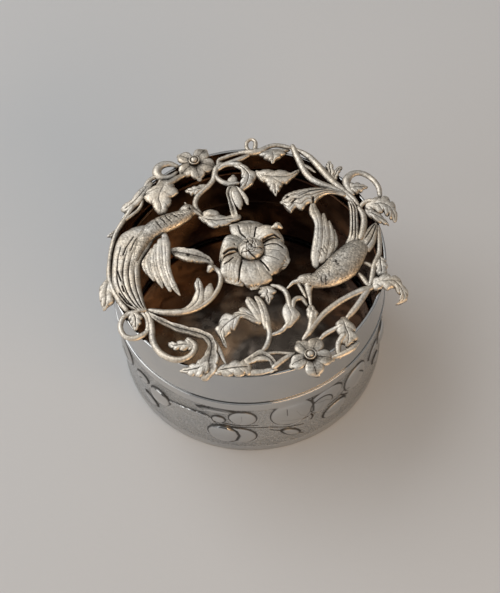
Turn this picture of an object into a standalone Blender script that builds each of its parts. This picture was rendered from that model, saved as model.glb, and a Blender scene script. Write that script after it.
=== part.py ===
"""A round silver box for potpourri: a chased body, and a pull-off lid whose top is open cast work.

Metres, +Z up. The origin is the middle of the underside, +X is to the right of the long acanthus
leaf at the front and +Y is away from it. Plan positions are shares of LID_R.
"""

import math

import bmesh
import bpy
from mathutils import Matrix, Vector

# The box
LID_R = 0.0400
WALL_SET = 0.0001
BODY_R = LID_R - WALL_SET
SHEET_T = 0.0009
SEAM_Z = 0.0279
RIM_Z = 0.0440
SEAM_GAP = 0.0003
FIT_GAP = 0.0003
FLOOR_T = 0.0010
BEZEL_T = 0.0008
BEZEL_RISE = 0.0070
BEZEL_DROP = 0.0080
EDGE_BEAD = 0.0003
EDGE_TURN = 0.0006
AROUND = 72
WALL_AROUND = 84

# The openwork stands on the rim, RELIEF_H high
RELIEF_H = 0.0040
EDGE_T = 0.0006
LEAF_CROWN = 0.0006
RIB_DEPTH = 0.00022
STEM_SIDES = 6
BODY_SIDES = 8
STEM_RISE_SHARE = 0.85
BODY_KEEL_SHARE = 0.35
LAYER_STEP = 0.00003

# The chased band, as shares of SEAM_Z up the wall
CHASE_H = 0.0007
GROUND_SINK = 0.0004
BAND_SHARES = (0.05, 0.09, 0.84, 0.89)
WALL_ROWS = 9
PATTERN_REPEATS = 3

SILVER = (0.80, 0.79, 0.76, 1.0)
SILVER_ROUGHNESS = 0.24
SMOOTH_ANGLE = math.radians(50)

# Bosses of the chased band: degrees round, share up, half sizes in both, and height share
BOSS_SHARES = (
    (225.0, 0.545, 7.0, 0.155, 1.0),
    (213.5, 0.600, 5.5, 0.085, 0.6),
    (218.5, 0.290, 4.5, 0.070, 0.6),
    (251.5, 0.800, 7.5, 0.045, 0.5),
    (263.5, 0.690, 6.0, 0.140, 0.8),
    (257.0, 0.350, 6.5, 0.160, 0.9),
    (266.5, 0.300, 3.5, 0.130, 0.5),
    (283.5, 0.690, 9.5, 0.235, 1.0),
    (299.0, 0.740, 6.0, 0.150, 0.9),
    (303.5, 0.590, 6.5, 0.110, 0.8),
    (304.5, 0.365, 5.5, 0.105, 0.9),
    (278.5, 0.330, 6.5, 0.080, 0.6),
    (318.0, 0.630, 7.5, 0.190, 1.0),
    (240.0, 0.640, 5.0, 0.050, 0.4),
    (288.0, 0.170, 5.0, 0.050, 0.5),
)

# Stems: x and y as shares of LID_R, level as a share of RELIEF_H, half width as a share of LID_R
STEM_SHARES = {
    "scroll_front_left": (
        (
            (-0.735, -0.430, 0.18, 0.016), (-0.707, -0.490, 0.18, 0.020), (-0.695, -0.570, 0.18, 0.020),
            (-0.694, -0.645, 0.18, 0.020), (-0.675, -0.715, 0.18, 0.020), (-0.636, -0.775, 0.18, 0.020),
            (-0.585, -0.815, 0.18, 0.020), (-0.530, -0.838, 0.20, 0.020), (-0.475, -0.836, 0.22, 0.020),
            (-0.430, -0.812, 0.24, 0.020), (-0.402, -0.770, 0.26, 0.020), (-0.402, -0.728, 0.28, 0.019),
            (-0.430, -0.700, 0.32, 0.017),
        ),
        (
            (-0.862, -0.435, 0.18, 0.015), (-0.900, -0.478, 0.18, 0.017), (-0.915, -0.535, 0.18, 0.017),
            (-0.902, -0.592, 0.18, 0.017), (-0.868, -0.630, 0.18, 0.017), (-0.815, -0.642, 0.18, 0.018),
            (-0.762, -0.622, 0.18, 0.018), (-0.715, -0.585, 0.18, 0.015),
        ),
        (
            (-0.800, -0.415, 0.18, 0.013), (-0.757, -0.442, 0.18, 0.015), (-0.730, -0.490, 0.18, 0.015),
            (-0.722, -0.550, 0.18, 0.015), (-0.735, -0.600, 0.18, 0.013),
        ),
        ((-0.866, -0.450, 0.18, 0.015), (-0.832, -0.430, 0.20, 0.016), (-0.795, -0.417, 0.18, 0.013)),
    ),
    "scroll_inner_left": (
        (
            (-0.694, -0.425, 0.20, 0.016), (-0.650, -0.438, 0.20, 0.020), (-0.600, -0.450, 0.22, 0.022),
            (-0.530, -0.457, 0.24, 0.024), (-0.460, -0.455, 0.26, 0.022), (-0.390, -0.438, 0.26, 0.020),
            (-0.320, -0.400, 0.26, 0.018), (-0.262, -0.345, 0.26, 0.017), (-0.220, -0.280, 0.26, 0.016),
            (-0.200, -0.215, 0.26, 0.016), (-0.200, -0.160, 0.26, 0.016), (-0.218, -0.122, 0.30, 0.016),
            (-0.248, -0.104, 0.36, 0.015),
        ),
    ),
    "bird_left": (
        ((-0.375, 0.402, 0.46, 0.020), (-0.342, 0.385, 0.44, 0.014), (-0.316, 0.362, 0.42, 0.007)),
        ((-0.412, 0.425, 0.56, 0.014), (-0.420, 0.450, 0.54, 0.012), (-0.428, 0.472, 0.50, 0.007)),
    ),
    "bird_right": (
        ((0.352, -0.268, 0.42, 0.020), (0.312, -0.277, 0.42, 0.013), (0.280, -0.306, 0.40, 0.007)),
        ((0.352, -0.290, 0.40, 0.012), (0.370, -0.335, 0.36, 0.012), (0.388, -0.382, 0.32, 0.009)),
        ((0.420, -0.310, 0.40, 0.032), (0.417, -0.355, 0.36, 0.020), (0.420, -0.405, 0.32, 0.013),
         (0.422, -0.455, 0.30, 0.009)),
    ),
    "bird_right_tail": (
        ((0.828, 0.085, 0.42, 0.020), (0.849, 0.150, 0.40, 0.022), (0.862, 0.220, 0.36, 0.021),
         (0.860, 0.290, 0.32, 0.020), (0.842, 0.345, 0.28, 0.016)),
    ),
    "leaf_left_back": (
        ((-0.436, 0.758, 0.26, 0.014), (-0.466, 0.743, 0.30, 0.018), (-0.504, 0.713, 0.38, 0.020),
         (-0.548, 0.672, 0.50, 0.020)),
    ),
    "vine_left": (
        (
            (-0.728, 0.672, 0.18, 0.014), (-0.752, 0.625, 0.18, 0.018), (-0.785, 0.560, 0.18, 0.019),
            (-0.830, 0.485, 0.18, 0.018), (-0.875, 0.405, 0.18, 0.016), (-0.912, 0.338, 0.18, 0.016),
            (-0.945, 0.270, 0.18, 0.015), (-0.968, 0.185, 0.18, 0.015), (-0.984, 0.100, 0.18, 0.014),
            (-0.994, 0.000, 0.18, 0.014), (-0.996, -0.090, 0.18, 0.016), (-0.982, -0.175, 0.18, 0.018),
            (-0.952, -0.260, 0.18, 0.019), (-0.915, -0.335, 0.18, 0.019), (-0.878, -0.392, 0.18, 0.016),
        ),
        ((-0.742, 0.610, 0.20, 0.010), (-0.750, 0.540, 0.20, 0.011), (-0.774, 0.478, 0.20, 0.011),
         (-0.820, 0.430, 0.20, 0.012), (-0.866, 0.392, 0.20, 0.012)),
    ),
    "loop_back_left": (
        (
            (-0.495, 0.862, 0.18, 0.014), (-0.540, 0.882, 0.18, 0.021), (-0.595, 0.876, 0.18, 0.026),
            (-0.630, 0.843, 0.20, 0.029), (-0.638, 0.798, 0.20, 0.030), (-0.615, 0.760, 0.20, 0.027),
            (-0.575, 0.748, 0.18, 0.023), (-0.530, 0.760, 0.18, 0.019), (-0.502, 0.785, 0.18, 0.013),
        ),
        (
            (-0.652, 0.764, 0.20, 0.014), (-0.690, 0.742, 0.18, 0.016), (-0.717, 0.700, 0.18, 0.016),
            (-0.724, 0.655, 0.18, 0.016), (-0.704, 0.622, 0.18, 0.016), (-0.668, 0.630, 0.18, 0.016),
            (-0.636, 0.672, 0.18, 0.015), (-0.606, 0.738, 0.18, 0.013),
        ),
    ),
    "scroll_back": (
        (
            (-0.165, 0.838, 0.20, 0.018), (-0.195, 0.802, 0.20, 0.020), (-0.207, 0.745, 0.20, 0.019),
            (-0.222, 0.695, 0.20, 0.018), (-0.256, 0.648, 0.20, 0.018), (-0.306, 0.600, 0.20, 0.018),
            (-0.345, 0.548, 0.20, 0.018), (-0.360, 0.492, 0.20, 0.017), (-0.352, 0.445, 0.20, 0.016),
            (-0.330, 0.410, 0.20, 0.013),
        ),
        (
            (-0.205, 0.765, 0.20, 0.015), (-0.188, 0.716, 0.20, 0.017), (-0.150, 0.678, 0.20, 0.018),
            (-0.100, 0.655, 0.20, 0.018), (-0.050, 0.652, 0.24, 0.015),
        ),
        (
            (-0.172, 0.806, 0.20, 0.015), (-0.135, 0.832, 0.20, 0.017), (-0.085, 0.840, 0.22, 0.018),
            (-0.030, 0.828, 0.28, 0.020),
        ),
        (
            (-0.176, 0.842, 0.18, 0.015), (-0.168, 0.888, 0.18, 0.014), (-0.120, 0.912, 0.18, 0.014),
            (-0.060, 0.934, 0.18, 0.013), (-0.014, 0.942, 0.18, 0.012),
        ),
        (
            (-0.140, 0.840, 0.20, 0.015), (-0.070, 0.862, 0.20, 0.018), (-0.005, 0.888, 0.18, 0.018),
            (0.040, 0.910, 0.18, 0.014),
        ),
    ),
    "vine_back": (
        (
            (0.002, 0.946, 0.18, 0.014), (0.055, 0.944, 0.18, 0.022), (0.105, 0.944, 0.18, 0.025),
            (0.155, 0.955, 0.18, 0.022), (0.202, 0.984, 0.18, 0.017), (0.256, 0.998, 0.18, 0.016),
            (0.310, 0.990, 0.18, 0.016), (0.362, 0.972, 0.18, 0.014),
        ),
        (
            (0.060, 0.955, 0.18, 0.015), (0.046, 1.000, 0.18, 0.013), (0.053, 1.048, 0.18, 0.012),
            (0.084, 1.072, 0.18, 0.011), (0.114, 1.048, 0.18, 0.013), (0.112, 0.996, 0.18, 0.015),
            (0.098, 0.955, 0.18, 0.014),
        ),
    ),
    "stems_back_right": (
        (
            (0.398, 0.968, 0.18, 0.017), (0.413, 0.902, 0.20, 0.022), (0.433, 0.838, 0.20, 0.023),
            (0.451, 0.776, 0.20, 0.024), (0.472, 0.718, 0.20, 0.023), (0.506, 0.662, 0.20, 0.022),
            (0.552, 0.620, 0.20, 0.022), (0.604, 0.588, 0.18, 0.022), (0.658, 0.558, 0.18, 0.022),
            (0.710, 0.522, 0.18, 0.021), (0.755, 0.480, 0.18, 0.018), (0.790, 0.432, 0.18, 0.015),
        ),
        (
            (0.422, 0.942, 0.18, 0.013), (0.472, 0.905, 0.20, 0.018), (0.518, 0.858, 0.20, 0.021),
            (0.558, 0.798, 0.20, 0.023), (0.597, 0.732, 0.20, 0.024), (0.634, 0.668, 0.20, 0.024),
            (0.670, 0.612, 0.20, 0.023), (0.714, 0.560, 0.20, 0.022), (0.762, 0.505, 0.18, 0.020),
            (0.804, 0.450, 0.18, 0.018), (0.832, 0.398, 0.18, 0.013),
        ),
        ((0.478, 0.770, 0.22, 0.017), (0.506, 0.752, 0.22, 0.014), (0.534, 0.724, 0.22, 0.007)),
    ),
    "curl_right_back": (
        (
            (0.798, 0.505, 0.24, 0.016), (0.774, 0.550, 0.24, 0.024), (0.770, 0.610, 0.24, 0.028),
            (0.800, 0.660, 0.24, 0.025), (0.852, 0.683, 0.22, 0.020), (0.906, 0.670, 0.20, 0.019),
            (0.952, 0.630, 0.20, 0.018), (0.985, 0.580, 0.20, 0.018), (1.002, 0.528, 0.20, 0.018),
            (1.004, 0.474, 0.20, 0.016),
        ),
    ),
    "leaf_right_upper": (
        ((0.846, 0.355, 0.20, 0.012), (0.872, 0.392, 0.24, 0.016), (0.912, 0.408, 0.32, 0.016),
         (0.955, 0.400, 0.42, 0.014)),
    ),
    "vine_right": (
        (
            (0.962, 0.165, 0.18, 0.013), (0.958, 0.080, 0.18, 0.015), (0.952, 0.000, 0.18, 0.015),
            (0.942, -0.062, 0.18, 0.016), (0.918, -0.112, 0.18, 0.018), (0.896, -0.162, 0.18, 0.018),
            (0.883, -0.218, 0.18, 0.018), (0.868, -0.278, 0.18, 0.017), (0.850, -0.325, 0.18, 0.013),
        ),
        ((0.838, -0.134, 0.20, 0.012), (0.864, -0.150, 0.20, 0.014), (0.892, -0.172, 0.18, 0.013)),
        ((0.786, -0.224, 0.20, 0.012), (0.810, -0.262, 0.20, 0.015), (0.830, -0.302, 0.18, 0.015),
         (0.850, -0.328, 0.18, 0.012)),
    ),
    "stems_front_right": (
        (
            (0.856, -0.346, 0.18, 0.018), (0.800, -0.366, 0.18, 0.026), (0.740, -0.386, 0.18, 0.022),
            (0.680, -0.415, 0.18, 0.020), (0.612, -0.456, 0.18, 0.020), (0.546, -0.506, 0.18, 0.020),
            (0.486, -0.562, 0.18, 0.020), (0.436, -0.620, 0.18, 0.021), (0.396, -0.676, 0.18, 0.021),
            (0.362, -0.722, 0.18, 0.015),
        ),
        (
            (0.826, -0.370, 0.18, 0.021), (0.786, -0.432, 0.18, 0.020), (0.742, -0.495, 0.18, 0.020),
            (0.704, -0.542, 0.18, 0.019), (0.670, -0.580, 0.18, 0.013),
        ),
        ((0.396, -0.680, 0.20, 0.017), (0.408, -0.635, 0.22, 0.019), (0.420, -0.590, 0.28, 0.021),
         (0.427, -0.550, 0.32, 0.022)),
    ),
    "leaf_front_right": (
        ((0.606, -0.662, 0.40, 0.016), (0.568, -0.676, 0.28, 0.015), (0.532, -0.692, 0.22, 0.016),
         (0.498, -0.712, 0.20, 0.015), (0.474, -0.735, 0.20, 0.012)),
        ((0.622, -0.745, 0.36, 0.022), (0.590, -0.790, 0.26, 0.019), (0.582, -0.840, 0.20, 0.018),
         (0.586, -0.878, 0.18, 0.014)),
        ((0.714, -0.802, 0.18, 0.012), (0.682, -0.834, 0.18, 0.018), (0.632, -0.862, 0.18, 0.019),
         (0.580, -0.884, 0.18, 0.018), (0.548, -0.892, 0.18, 0.012)),
    ),
    "tulip_front": (
        ((0.060, -0.818, 0.20, 0.014), (0.091, -0.776, 0.20, 0.017), (0.113, -0.720, 0.20, 0.017),
         (0.121, -0.665, 0.22, 0.018), (0.112, -0.608, 0.30, 0.018)),
    ),
    "bud_front": (
        ((0.146, -0.682, 0.20, 0.012), (0.182, -0.670, 0.20, 0.014), (0.218, -0.648, 0.22, 0.015),
         (0.254, -0.605, 0.32, 0.015)),
        ((0.176, -0.282, 0.24, 0.012), (0.212, -0.296, 0.24, 0.016), (0.246, -0.326, 0.24, 0.017),
         (0.264, -0.372, 0.26, 0.017), (0.270, -0.420, 0.32, 0.017), (0.273, -0.462, 0.38, 0.016)),
        ((0.298, -0.470, 0.38, 0.013), (0.306, -0.426, 0.32, 0.016), (0.336, -0.402, 0.28, 0.017),
         (0.368, -0.408, 0.24, 0.015), (0.388, -0.442, 0.20, 0.011)),
    ),
    "leaves_front": (
        ((0.095, -0.838, 0.26, 0.012), (0.150, -0.832, 0.22, 0.011), (0.210, -0.838, 0.20, 0.011),
         (0.262, -0.848, 0.20, 0.012)),
        ((0.145, -0.938, 0.26, 0.017), (0.188, -0.902, 0.22, 0.018), (0.232, -0.872, 0.20, 0.017),
         (0.268, -0.852, 0.20, 0.013)),
    ),
}

# Leaves, feathers and petals: the number of ridges, then one edge, the other edge and the level
BLADE_SHARES = {
    "scroll_front_left": (
        (1, (-0.412, -0.705, -0.424, -0.772, 0.44), (-0.460, -0.686, -0.466, -0.775, 0.48),
         (-0.505, -0.696, -0.510, -0.768, 0.46), (-0.545, -0.700, -0.545, -0.762, 0.42),
         (-0.568, -0.690, -0.570, -0.738, 0.34)),
        (1, (-0.860, -0.448, -0.792, -0.415, 0.36), (-0.855, -0.490, -0.762, -0.475, 0.44),
         (-0.842, -0.530, -0.768, -0.525, 0.40), (-0.825, -0.562, -0.790, -0.558, 0.32)),
    ),
    "leaf_front_left": (
        (1, (-0.710, -0.438, -0.704, -0.480, 0.34), (-0.652, -0.482, -0.658, -0.524, 0.40),
         (-0.598, -0.516, -0.604, -0.562, 0.44), (-0.530, -0.553, -0.534, -0.610, 0.46),
         (-0.450, -0.585, -0.456, -0.644, 0.48), (-0.380, -0.610, -0.388, -0.672, 0.50),
         (-0.318, -0.640, -0.336, -0.702, 0.52), (-0.272, -0.682, -0.312, -0.740, 0.54),
         (-0.250, -0.738, -0.316, -0.786, 0.56), (-0.242, -0.800, -0.340, -0.830, 0.56),
         (-0.240, -0.860, -0.368, -0.876, 0.52), (-0.248, -0.915, -0.385, -0.930, 0.46),
         (-0.272, -0.965, -0.388, -0.970, 0.38), (-0.308, -0.994, -0.364, -0.990, 0.30)),
        (1, (-0.328, -0.835, -0.312, -0.955, 0.48), (-0.390, -0.862, -0.366, -0.984, 0.44),
         (-0.450, -0.890, -0.432, -0.972, 0.36), (-0.498, -0.918, -0.478, -0.942, 0.28)),
        (1, (-0.285, -0.660, -0.314, -0.700, 0.46), (-0.242, -0.730, -0.270, -0.758, 0.42),
         (-0.216, -0.790, -0.245, -0.800, 0.40), (-0.201, -0.845, -0.225, -0.850, 0.36),
         (-0.190, -0.890, -0.203, -0.890, 0.30)),
    ),
    "scroll_inner_left": (
        (1, (-0.500, -0.437, -0.490, -0.476, 0.40), (-0.432, -0.400, -0.410, -0.460, 0.46),
         (-0.398, -0.345, -0.346, -0.422, 0.50), (-0.386, -0.290, -0.318, -0.340, 0.54),
         (-0.386, -0.238, -0.320, -0.262, 0.52), (-0.372, -0.200, -0.344, -0.202, 0.46)),
        (1, (-0.372, -0.372, -0.282, -0.376, 0.46), (-0.330, -0.312, -0.256, -0.325, 0.50),
         (-0.308, -0.268, -0.254, -0.282, 0.48), (-0.290, -0.247, -0.262, -0.250, 0.42)),
    ),
    "bird_left_tail": (
        (5, (-0.850, 0.280, -0.712, 0.310, 0.44), (-0.898, 0.242, -0.664, 0.275, 0.56),
         (-0.930, 0.180, -0.672, 0.200, 0.60), (-0.950, 0.095, -0.700, 0.115, 0.62),
         (-0.962, 0.005, -0.745, 0.025, 0.62), (-0.968, -0.085, -0.772, -0.065, 0.60),
         (-0.966, -0.172, -0.775, -0.155, 0.58), (-0.942, -0.255, -0.767, -0.245, 0.56),
         (-0.898, -0.332, -0.752, -0.325, 0.54), (-0.846, -0.392, -0.738, -0.388, 0.50),
         (-0.798, -0.430, -0.726, -0.420, 0.46)),
    ),
    "bird_left_wing": (
        (1, (-0.608, 0.182, -0.568, 0.190, 0.76), (-0.608, 0.108, -0.550, 0.110, 0.84),
         (-0.606, 0.010, -0.552, 0.010, 0.84), (-0.602, -0.080, -0.553, -0.085, 0.82),
         (-0.584, -0.170, -0.536, -0.175, 0.76), (-0.556, -0.245, -0.514, -0.240, 0.68),
         (-0.523, -0.298, -0.496, -0.292, 0.60), (-0.502, -0.322, -0.489, -0.318, 0.54)),
        (1, (-0.640, 0.142, -0.594, 0.150, 0.76), (-0.652, 0.045, -0.594, 0.045, 0.82),
         (-0.648, -0.055, -0.592, -0.055, 0.80), (-0.632, -0.140, -0.574, -0.150, 0.74),
         (-0.602, -0.222, -0.552, -0.222, 0.66), (-0.574, -0.275, -0.548, -0.270, 0.56)),
        (1, (-0.670, 0.100, -0.628, 0.110, 0.74), (-0.694, 0.015, -0.638, 0.015, 0.78),
         (-0.692, -0.070, -0.634, -0.070, 0.74), (-0.676, -0.148, -0.616, -0.152, 0.66),
         (-0.646, -0.210, -0.602, -0.210, 0.58), (-0.624, -0.242, -0.606, -0.238, 0.50)),
        (1, (-0.700, 0.066, -0.660, 0.076, 0.70), (-0.734, -0.005, -0.678, -0.005, 0.74),
         (-0.734, -0.080, -0.678, -0.080, 0.68), (-0.714, -0.138, -0.662, -0.142, 0.60),
         (-0.688, -0.174, -0.664, -0.172, 0.52)),
        (1, (-0.730, 0.018, -0.696, 0.032, 0.66), (-0.756, -0.032, -0.712, -0.026, 0.66),
         (-0.752, -0.080, -0.710, -0.080, 0.60), (-0.734, -0.114, -0.710, -0.114, 0.52)),
    ),
    "leaf_by_wing": (
        (1, (-0.546, 0.095, -0.542, 0.045, 0.42), (-0.505, 0.095, -0.510, 0.008, 0.48),
         (-0.445, 0.085, -0.455, -0.022, 0.54), (-0.385, 0.068, -0.405, -0.042, 0.56),
         (-0.325, 0.040, -0.345, -0.048, 0.50), (-0.280, 0.005, -0.296, -0.052, 0.42),
         (-0.254, -0.028, -0.268, -0.062, 0.34)),
    ),
    "branch_left": (
        (1, (-0.322, 0.378, -0.326, 0.334, 0.42), (-0.290, 0.374, -0.298, 0.298, 0.48),
         (-0.250, 0.371, -0.252, 0.260, 0.54), (-0.205, 0.364, -0.198, 0.246, 0.54),
         (-0.155, 0.357, -0.155, 0.264, 0.52), (-0.100, 0.358, -0.100, 0.276, 0.48),
         (-0.048, 0.364, -0.044, 0.308, 0.42)),
        (1, (-0.292, 0.402, -0.286, 0.350, 0.50), (-0.250, 0.412, -0.246, 0.352, 0.54),
         (-0.208, 0.402, -0.202, 0.350, 0.48)),
        (1, (-0.100, 0.335, -0.045, 0.330, 0.50), (-0.105, 0.405, -0.060, 0.402, 0.56),
         (-0.118, 0.485, -0.084, 0.482, 0.60), (-0.126, 0.550, -0.088, 0.545, 0.62),
         (-0.114, 0.600, -0.068, 0.582, 0.62), (-0.080, 0.614, -0.045, 0.586, 0.56)),
        (1, (-0.090, 0.602, -0.038, 0.582, 0.58), (-0.094, 0.548, -0.028, 0.545, 0.62),
         (-0.086, 0.488, -0.014, 0.492, 0.60), (-0.064, 0.436, -0.010, 0.445, 0.54),
         (-0.045, 0.414, -0.020, 0.418, 0.48)),
        (1, (-0.050, 0.600, -0.010, 0.575, 0.54), (-0.030, 0.550, 0.016, 0.535, 0.52),
         (-0.006, 0.500, 0.034, 0.490, 0.48), (0.012, 0.458, 0.034, 0.456, 0.42)),
    ),
    "flower_petals": (
        (1, (-0.020, 0.090, 0.050, 0.090, 0.46), (-0.068, 0.148, 0.074, 0.155, 0.54),
         (-0.092, 0.208, 0.102, 0.208, 0.60), (-0.088, 0.258, 0.100, 0.245, 0.58),
         (-0.046, 0.286, 0.062, 0.284, 0.50)),
        (1, (0.040, 0.130, 0.075, 0.080, 0.52), (0.065, 0.198, 0.112, 0.100, 0.66),
         (0.122, 0.220, 0.152, 0.120, 0.74), (0.182, 0.216, 0.196, 0.126, 0.74),
         (0.226, 0.190, 0.236, 0.112, 0.68), (0.256, 0.146, 0.260, 0.096, 0.58)),
        (1, (0.100, 0.060, 0.085, -0.060, 0.42), (0.150, 0.088, 0.100, -0.120, 0.50),
         (0.200, 0.098, 0.126, -0.180, 0.56), (0.246, 0.074, 0.172, -0.176, 0.56),
         (0.276, 0.010, 0.214, -0.146, 0.50), (0.289, -0.056, 0.256, -0.110, 0.42)),
        (1, (-0.030, -0.040, 0.080, -0.050, 0.44), (-0.052, -0.120, 0.110, -0.120, 0.56),
         (-0.057, -0.182, 0.136, -0.186, 0.60), (-0.040, -0.228, 0.146, -0.236, 0.54),
         (-0.002, -0.262, 0.106, -0.262, 0.46), (0.024, -0.278, 0.066, -0.276, 0.40)),
        (1, (-0.046, 0.062, 0.022, 0.010, 0.42), (-0.100, 0.010, -0.035, -0.030, 0.46),
         (-0.152, -0.022, -0.050, -0.090, 0.52), (-0.180, -0.082, -0.060, -0.150, 0.56),
         (-0.184, -0.152, -0.063, -0.206, 0.52), (-0.166, -0.200, -0.076, -0.236, 0.44)),
        (1, (-0.020, 0.125, -0.045, 0.030, 0.50), (-0.075, 0.152, -0.085, 0.026, 0.64),
         (-0.130, 0.150, -0.126, 0.020, 0.70), (-0.168, 0.110, -0.156, 0.004, 0.66),
         (-0.187, 0.048, -0.176, -0.020, 0.58), (-0.199, -0.022, -0.190, -0.046, 0.48)),
    ),
    "bird_right_wing": (
        (1, (0.458, -0.130, 0.500, -0.158, 0.62), (0.455, -0.075, 0.522, -0.085, 0.78),
         (0.470, 0.010, 0.545, 0.000, 0.86), (0.490, 0.105, 0.555, 0.105, 0.86),
         (0.503, 0.195, 0.558, 0.198, 0.80), (0.492, 0.260, 0.556, 0.262, 0.74),
         (0.477, 0.305, 0.546, 0.315, 0.68), (0.475, 0.355, 0.532, 0.358, 0.60),
         (0.486, 0.402, 0.522, 0.400, 0.52)),
        (1, (0.500, -0.115, 0.555, -0.115, 0.70), (0.520, -0.015, 0.585, -0.020, 0.82),
         (0.540, 0.085, 0.602, 0.085, 0.80), (0.545, 0.185, 0.600, 0.185, 0.74),
         (0.552, 0.250, 0.592, 0.252, 0.66), (0.564, 0.295, 0.584, 0.296, 0.58)),
        (1, (0.535, -0.105, 0.592, -0.085, 0.66), (0.565, -0.012, 0.628, -0.008, 0.76),
         (0.585, 0.085, 0.638, 0.088, 0.72), (0.588, 0.165, 0.632, 0.168, 0.64),
         (0.600, 0.225, 0.618, 0.228, 0.56)),
        (1, (0.570, -0.085, 0.625, -0.048, 0.60), (0.605, -0.005, 0.652, 0.010, 0.68),
         (0.618, 0.075, 0.656, 0.080, 0.62), (0.632, 0.145, 0.647, 0.148, 0.54)),
    ),
    "bird_right_tail": (
        (3, (0.715, 0.045, 0.800, 0.020, 0.50), (0.742, 0.105, 0.812, 0.095, 0.50),
         (0.757, 0.185, 0.818, 0.182, 0.48), (0.765, 0.270, 0.822, 0.268, 0.44),
         (0.768, 0.345, 0.826, 0.342, 0.40), (0.764, 0.405, 0.808, 0.405, 0.36)),
        (3, (0.800, 0.060, 0.875, -0.040, 0.50), (0.840, 0.105, 0.916, 0.020, 0.48),
         (0.875, 0.150, 0.938, 0.080, 0.44), (0.910, 0.186, 0.952, 0.145, 0.38),
         (0.936, 0.206, 0.955, 0.188, 0.32)),
    ),
    "acanthus_right": (
        (2, (0.735, 0.500, 0.732, 0.465, 0.44), (0.680, 0.522, 0.674, 0.484, 0.50),
         (0.620, 0.538, 0.612, 0.484, 0.56), (0.560, 0.545, 0.556, 0.452, 0.62),
         (0.502, 0.546, 0.512, 0.408, 0.66), (0.452, 0.542, 0.468, 0.410, 0.66),
         (0.402, 0.536, 0.422, 0.362, 0.64), (0.352, 0.525, 0.376, 0.386, 0.60),
         (0.312, 0.506, 0.340, 0.350, 0.56), (0.286, 0.480, 0.306, 0.384, 0.50),
         (0.278, 0.452, 0.285, 0.424, 0.44)),
    ),
    "stems_back_right": (
        (1, (0.640, 0.655, 0.686, 0.646, 0.26), (0.632, 0.720, 0.690, 0.702, 0.32),
         (0.630, 0.775, 0.684, 0.762, 0.34), (0.645, 0.800, 0.672, 0.794, 0.30)),
        (1, (0.662, 0.662, 0.700, 0.636, 0.24), (0.686, 0.714, 0.724, 0.690, 0.30),
         (0.714, 0.752, 0.748, 0.730, 0.28)),
    ),
    "curl_right_back": (
        (1, (0.765, 0.575, 0.786, 0.506, 0.38), (0.815, 0.582, 0.830, 0.498, 0.44),
         (0.866, 0.575, 0.870, 0.508, 0.42), (0.908, 0.550, 0.900, 0.530, 0.36)),
    ),
    "leaf_right_upper": (
        (1, (0.905, 0.400, 0.900, 0.330, 0.42), (0.955, 0.425, 0.945, 0.310, 0.52),
         (1.010, 0.438, 0.990, 0.295, 0.58), (1.060, 0.418, 1.025, 0.275, 0.58),
         (1.095, 0.375, 1.045, 0.260, 0.52), (1.111, 0.315, 1.060, 0.245, 0.42),
         (1.109, 0.252, 1.076, 0.228, 0.32)),
        (1, (0.893, 0.350, 0.893, 0.275, 0.42), (0.935, 0.335, 0.935, 0.235, 0.46),
         (0.980, 0.300, 0.985, 0.202, 0.42), (1.015, 0.250, 1.020, 0.195, 0.34),
         (1.036, 0.212, 1.030, 0.190, 0.28)),
    ),
    "vine_right": (
        (1, (0.930, -0.072, 0.957, -0.086, 0.23), (0.915, -0.120, 0.980, -0.112, 0.34),
         (0.902, -0.178, 0.992, -0.165, 0.38), (0.908, -0.232, 0.985, -0.222, 0.32)),
    ),
    "leaf_right_lower": (
        (2, (0.895, -0.256, 0.875, -0.362, 0.38), (0.940, -0.250, 0.920, -0.365, 0.46),
         (0.985, -0.247, 0.965, -0.374, 0.50), (1.030, -0.262, 1.005, -0.364, 0.50),
         (1.070, -0.302, 1.035, -0.395, 0.46), (1.096, -0.360, 1.048, -0.416, 0.40),
         (1.113, -0.414, 1.052, -0.440, 0.32), (1.105, -0.454, 1.044, -0.462, 0.24),
         (1.070, -0.474, 1.022, -0.478, 0.18)),
    ),
    "stems_front_right": (
        (1, (0.402, -0.600, 0.446, -0.602, 0.40), (0.390, -0.552, 0.468, -0.560, 0.48),
         (0.386, -0.516, 0.466, -0.526, 0.48), (0.402, -0.482, 0.446, -0.488, 0.42)),
    ),
    "leaf_front_right": (
        (1, (0.612, -0.600, 0.662, -0.596, 0.42), (0.587, -0.636, 0.695, -0.632, 0.52),
         (0.586, -0.682, 0.711, -0.690, 0.56), (0.602, -0.730, 0.722, -0.740, 0.52),
         (0.604, -0.776, 0.714, -0.780, 0.44), (0.628, -0.806, 0.672, -0.802, 0.36)),
    ),
    "vine_left": (
        (1, (-0.785, 0.592, -0.800, 0.510, 0.28), (-0.836, 0.556, -0.840, 0.500, 0.32),
         (-0.880, 0.530, -0.878, 0.504, 0.26)),
        (1, (-0.930, 0.322, -0.948, 0.240, 0.24), (-0.968, 0.288, -0.974, 0.236, 0.26),
         (-0.995, 0.264, -0.995, 0.244, 0.22)),
        (2, (-1.000, -0.100, -0.975, -0.122, 0.24), (-1.036, -0.170, -0.970, -0.190, 0.30),
         (-1.064, -0.226, -0.962, -0.252, 0.32), (-1.062, -0.280, -0.965, -0.306, 0.28),
         (-1.050, -0.330, -0.986, -0.342, 0.22), (-1.040, -0.368, -1.012, -0.366, 0.16)),
    ),
    "leaf_left_back": (
        (2, (-0.612, 0.690, -0.545, 0.694, 0.58), (-0.655, 0.636, -0.522, 0.638, 0.66),
         (-0.698, 0.578, -0.526, 0.576, 0.68), (-0.686, 0.524, -0.550, 0.520, 0.66),
         (-0.656, 0.474, -0.560, 0.470, 0.60), (-0.636, 0.438, -0.578, 0.436, 0.54)),
    ),
    "scroll_back": (
        (1, (-0.252, 0.668, -0.298, 0.606, 0.34), (-0.330, 0.650, -0.345, 0.578, 0.40),
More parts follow.
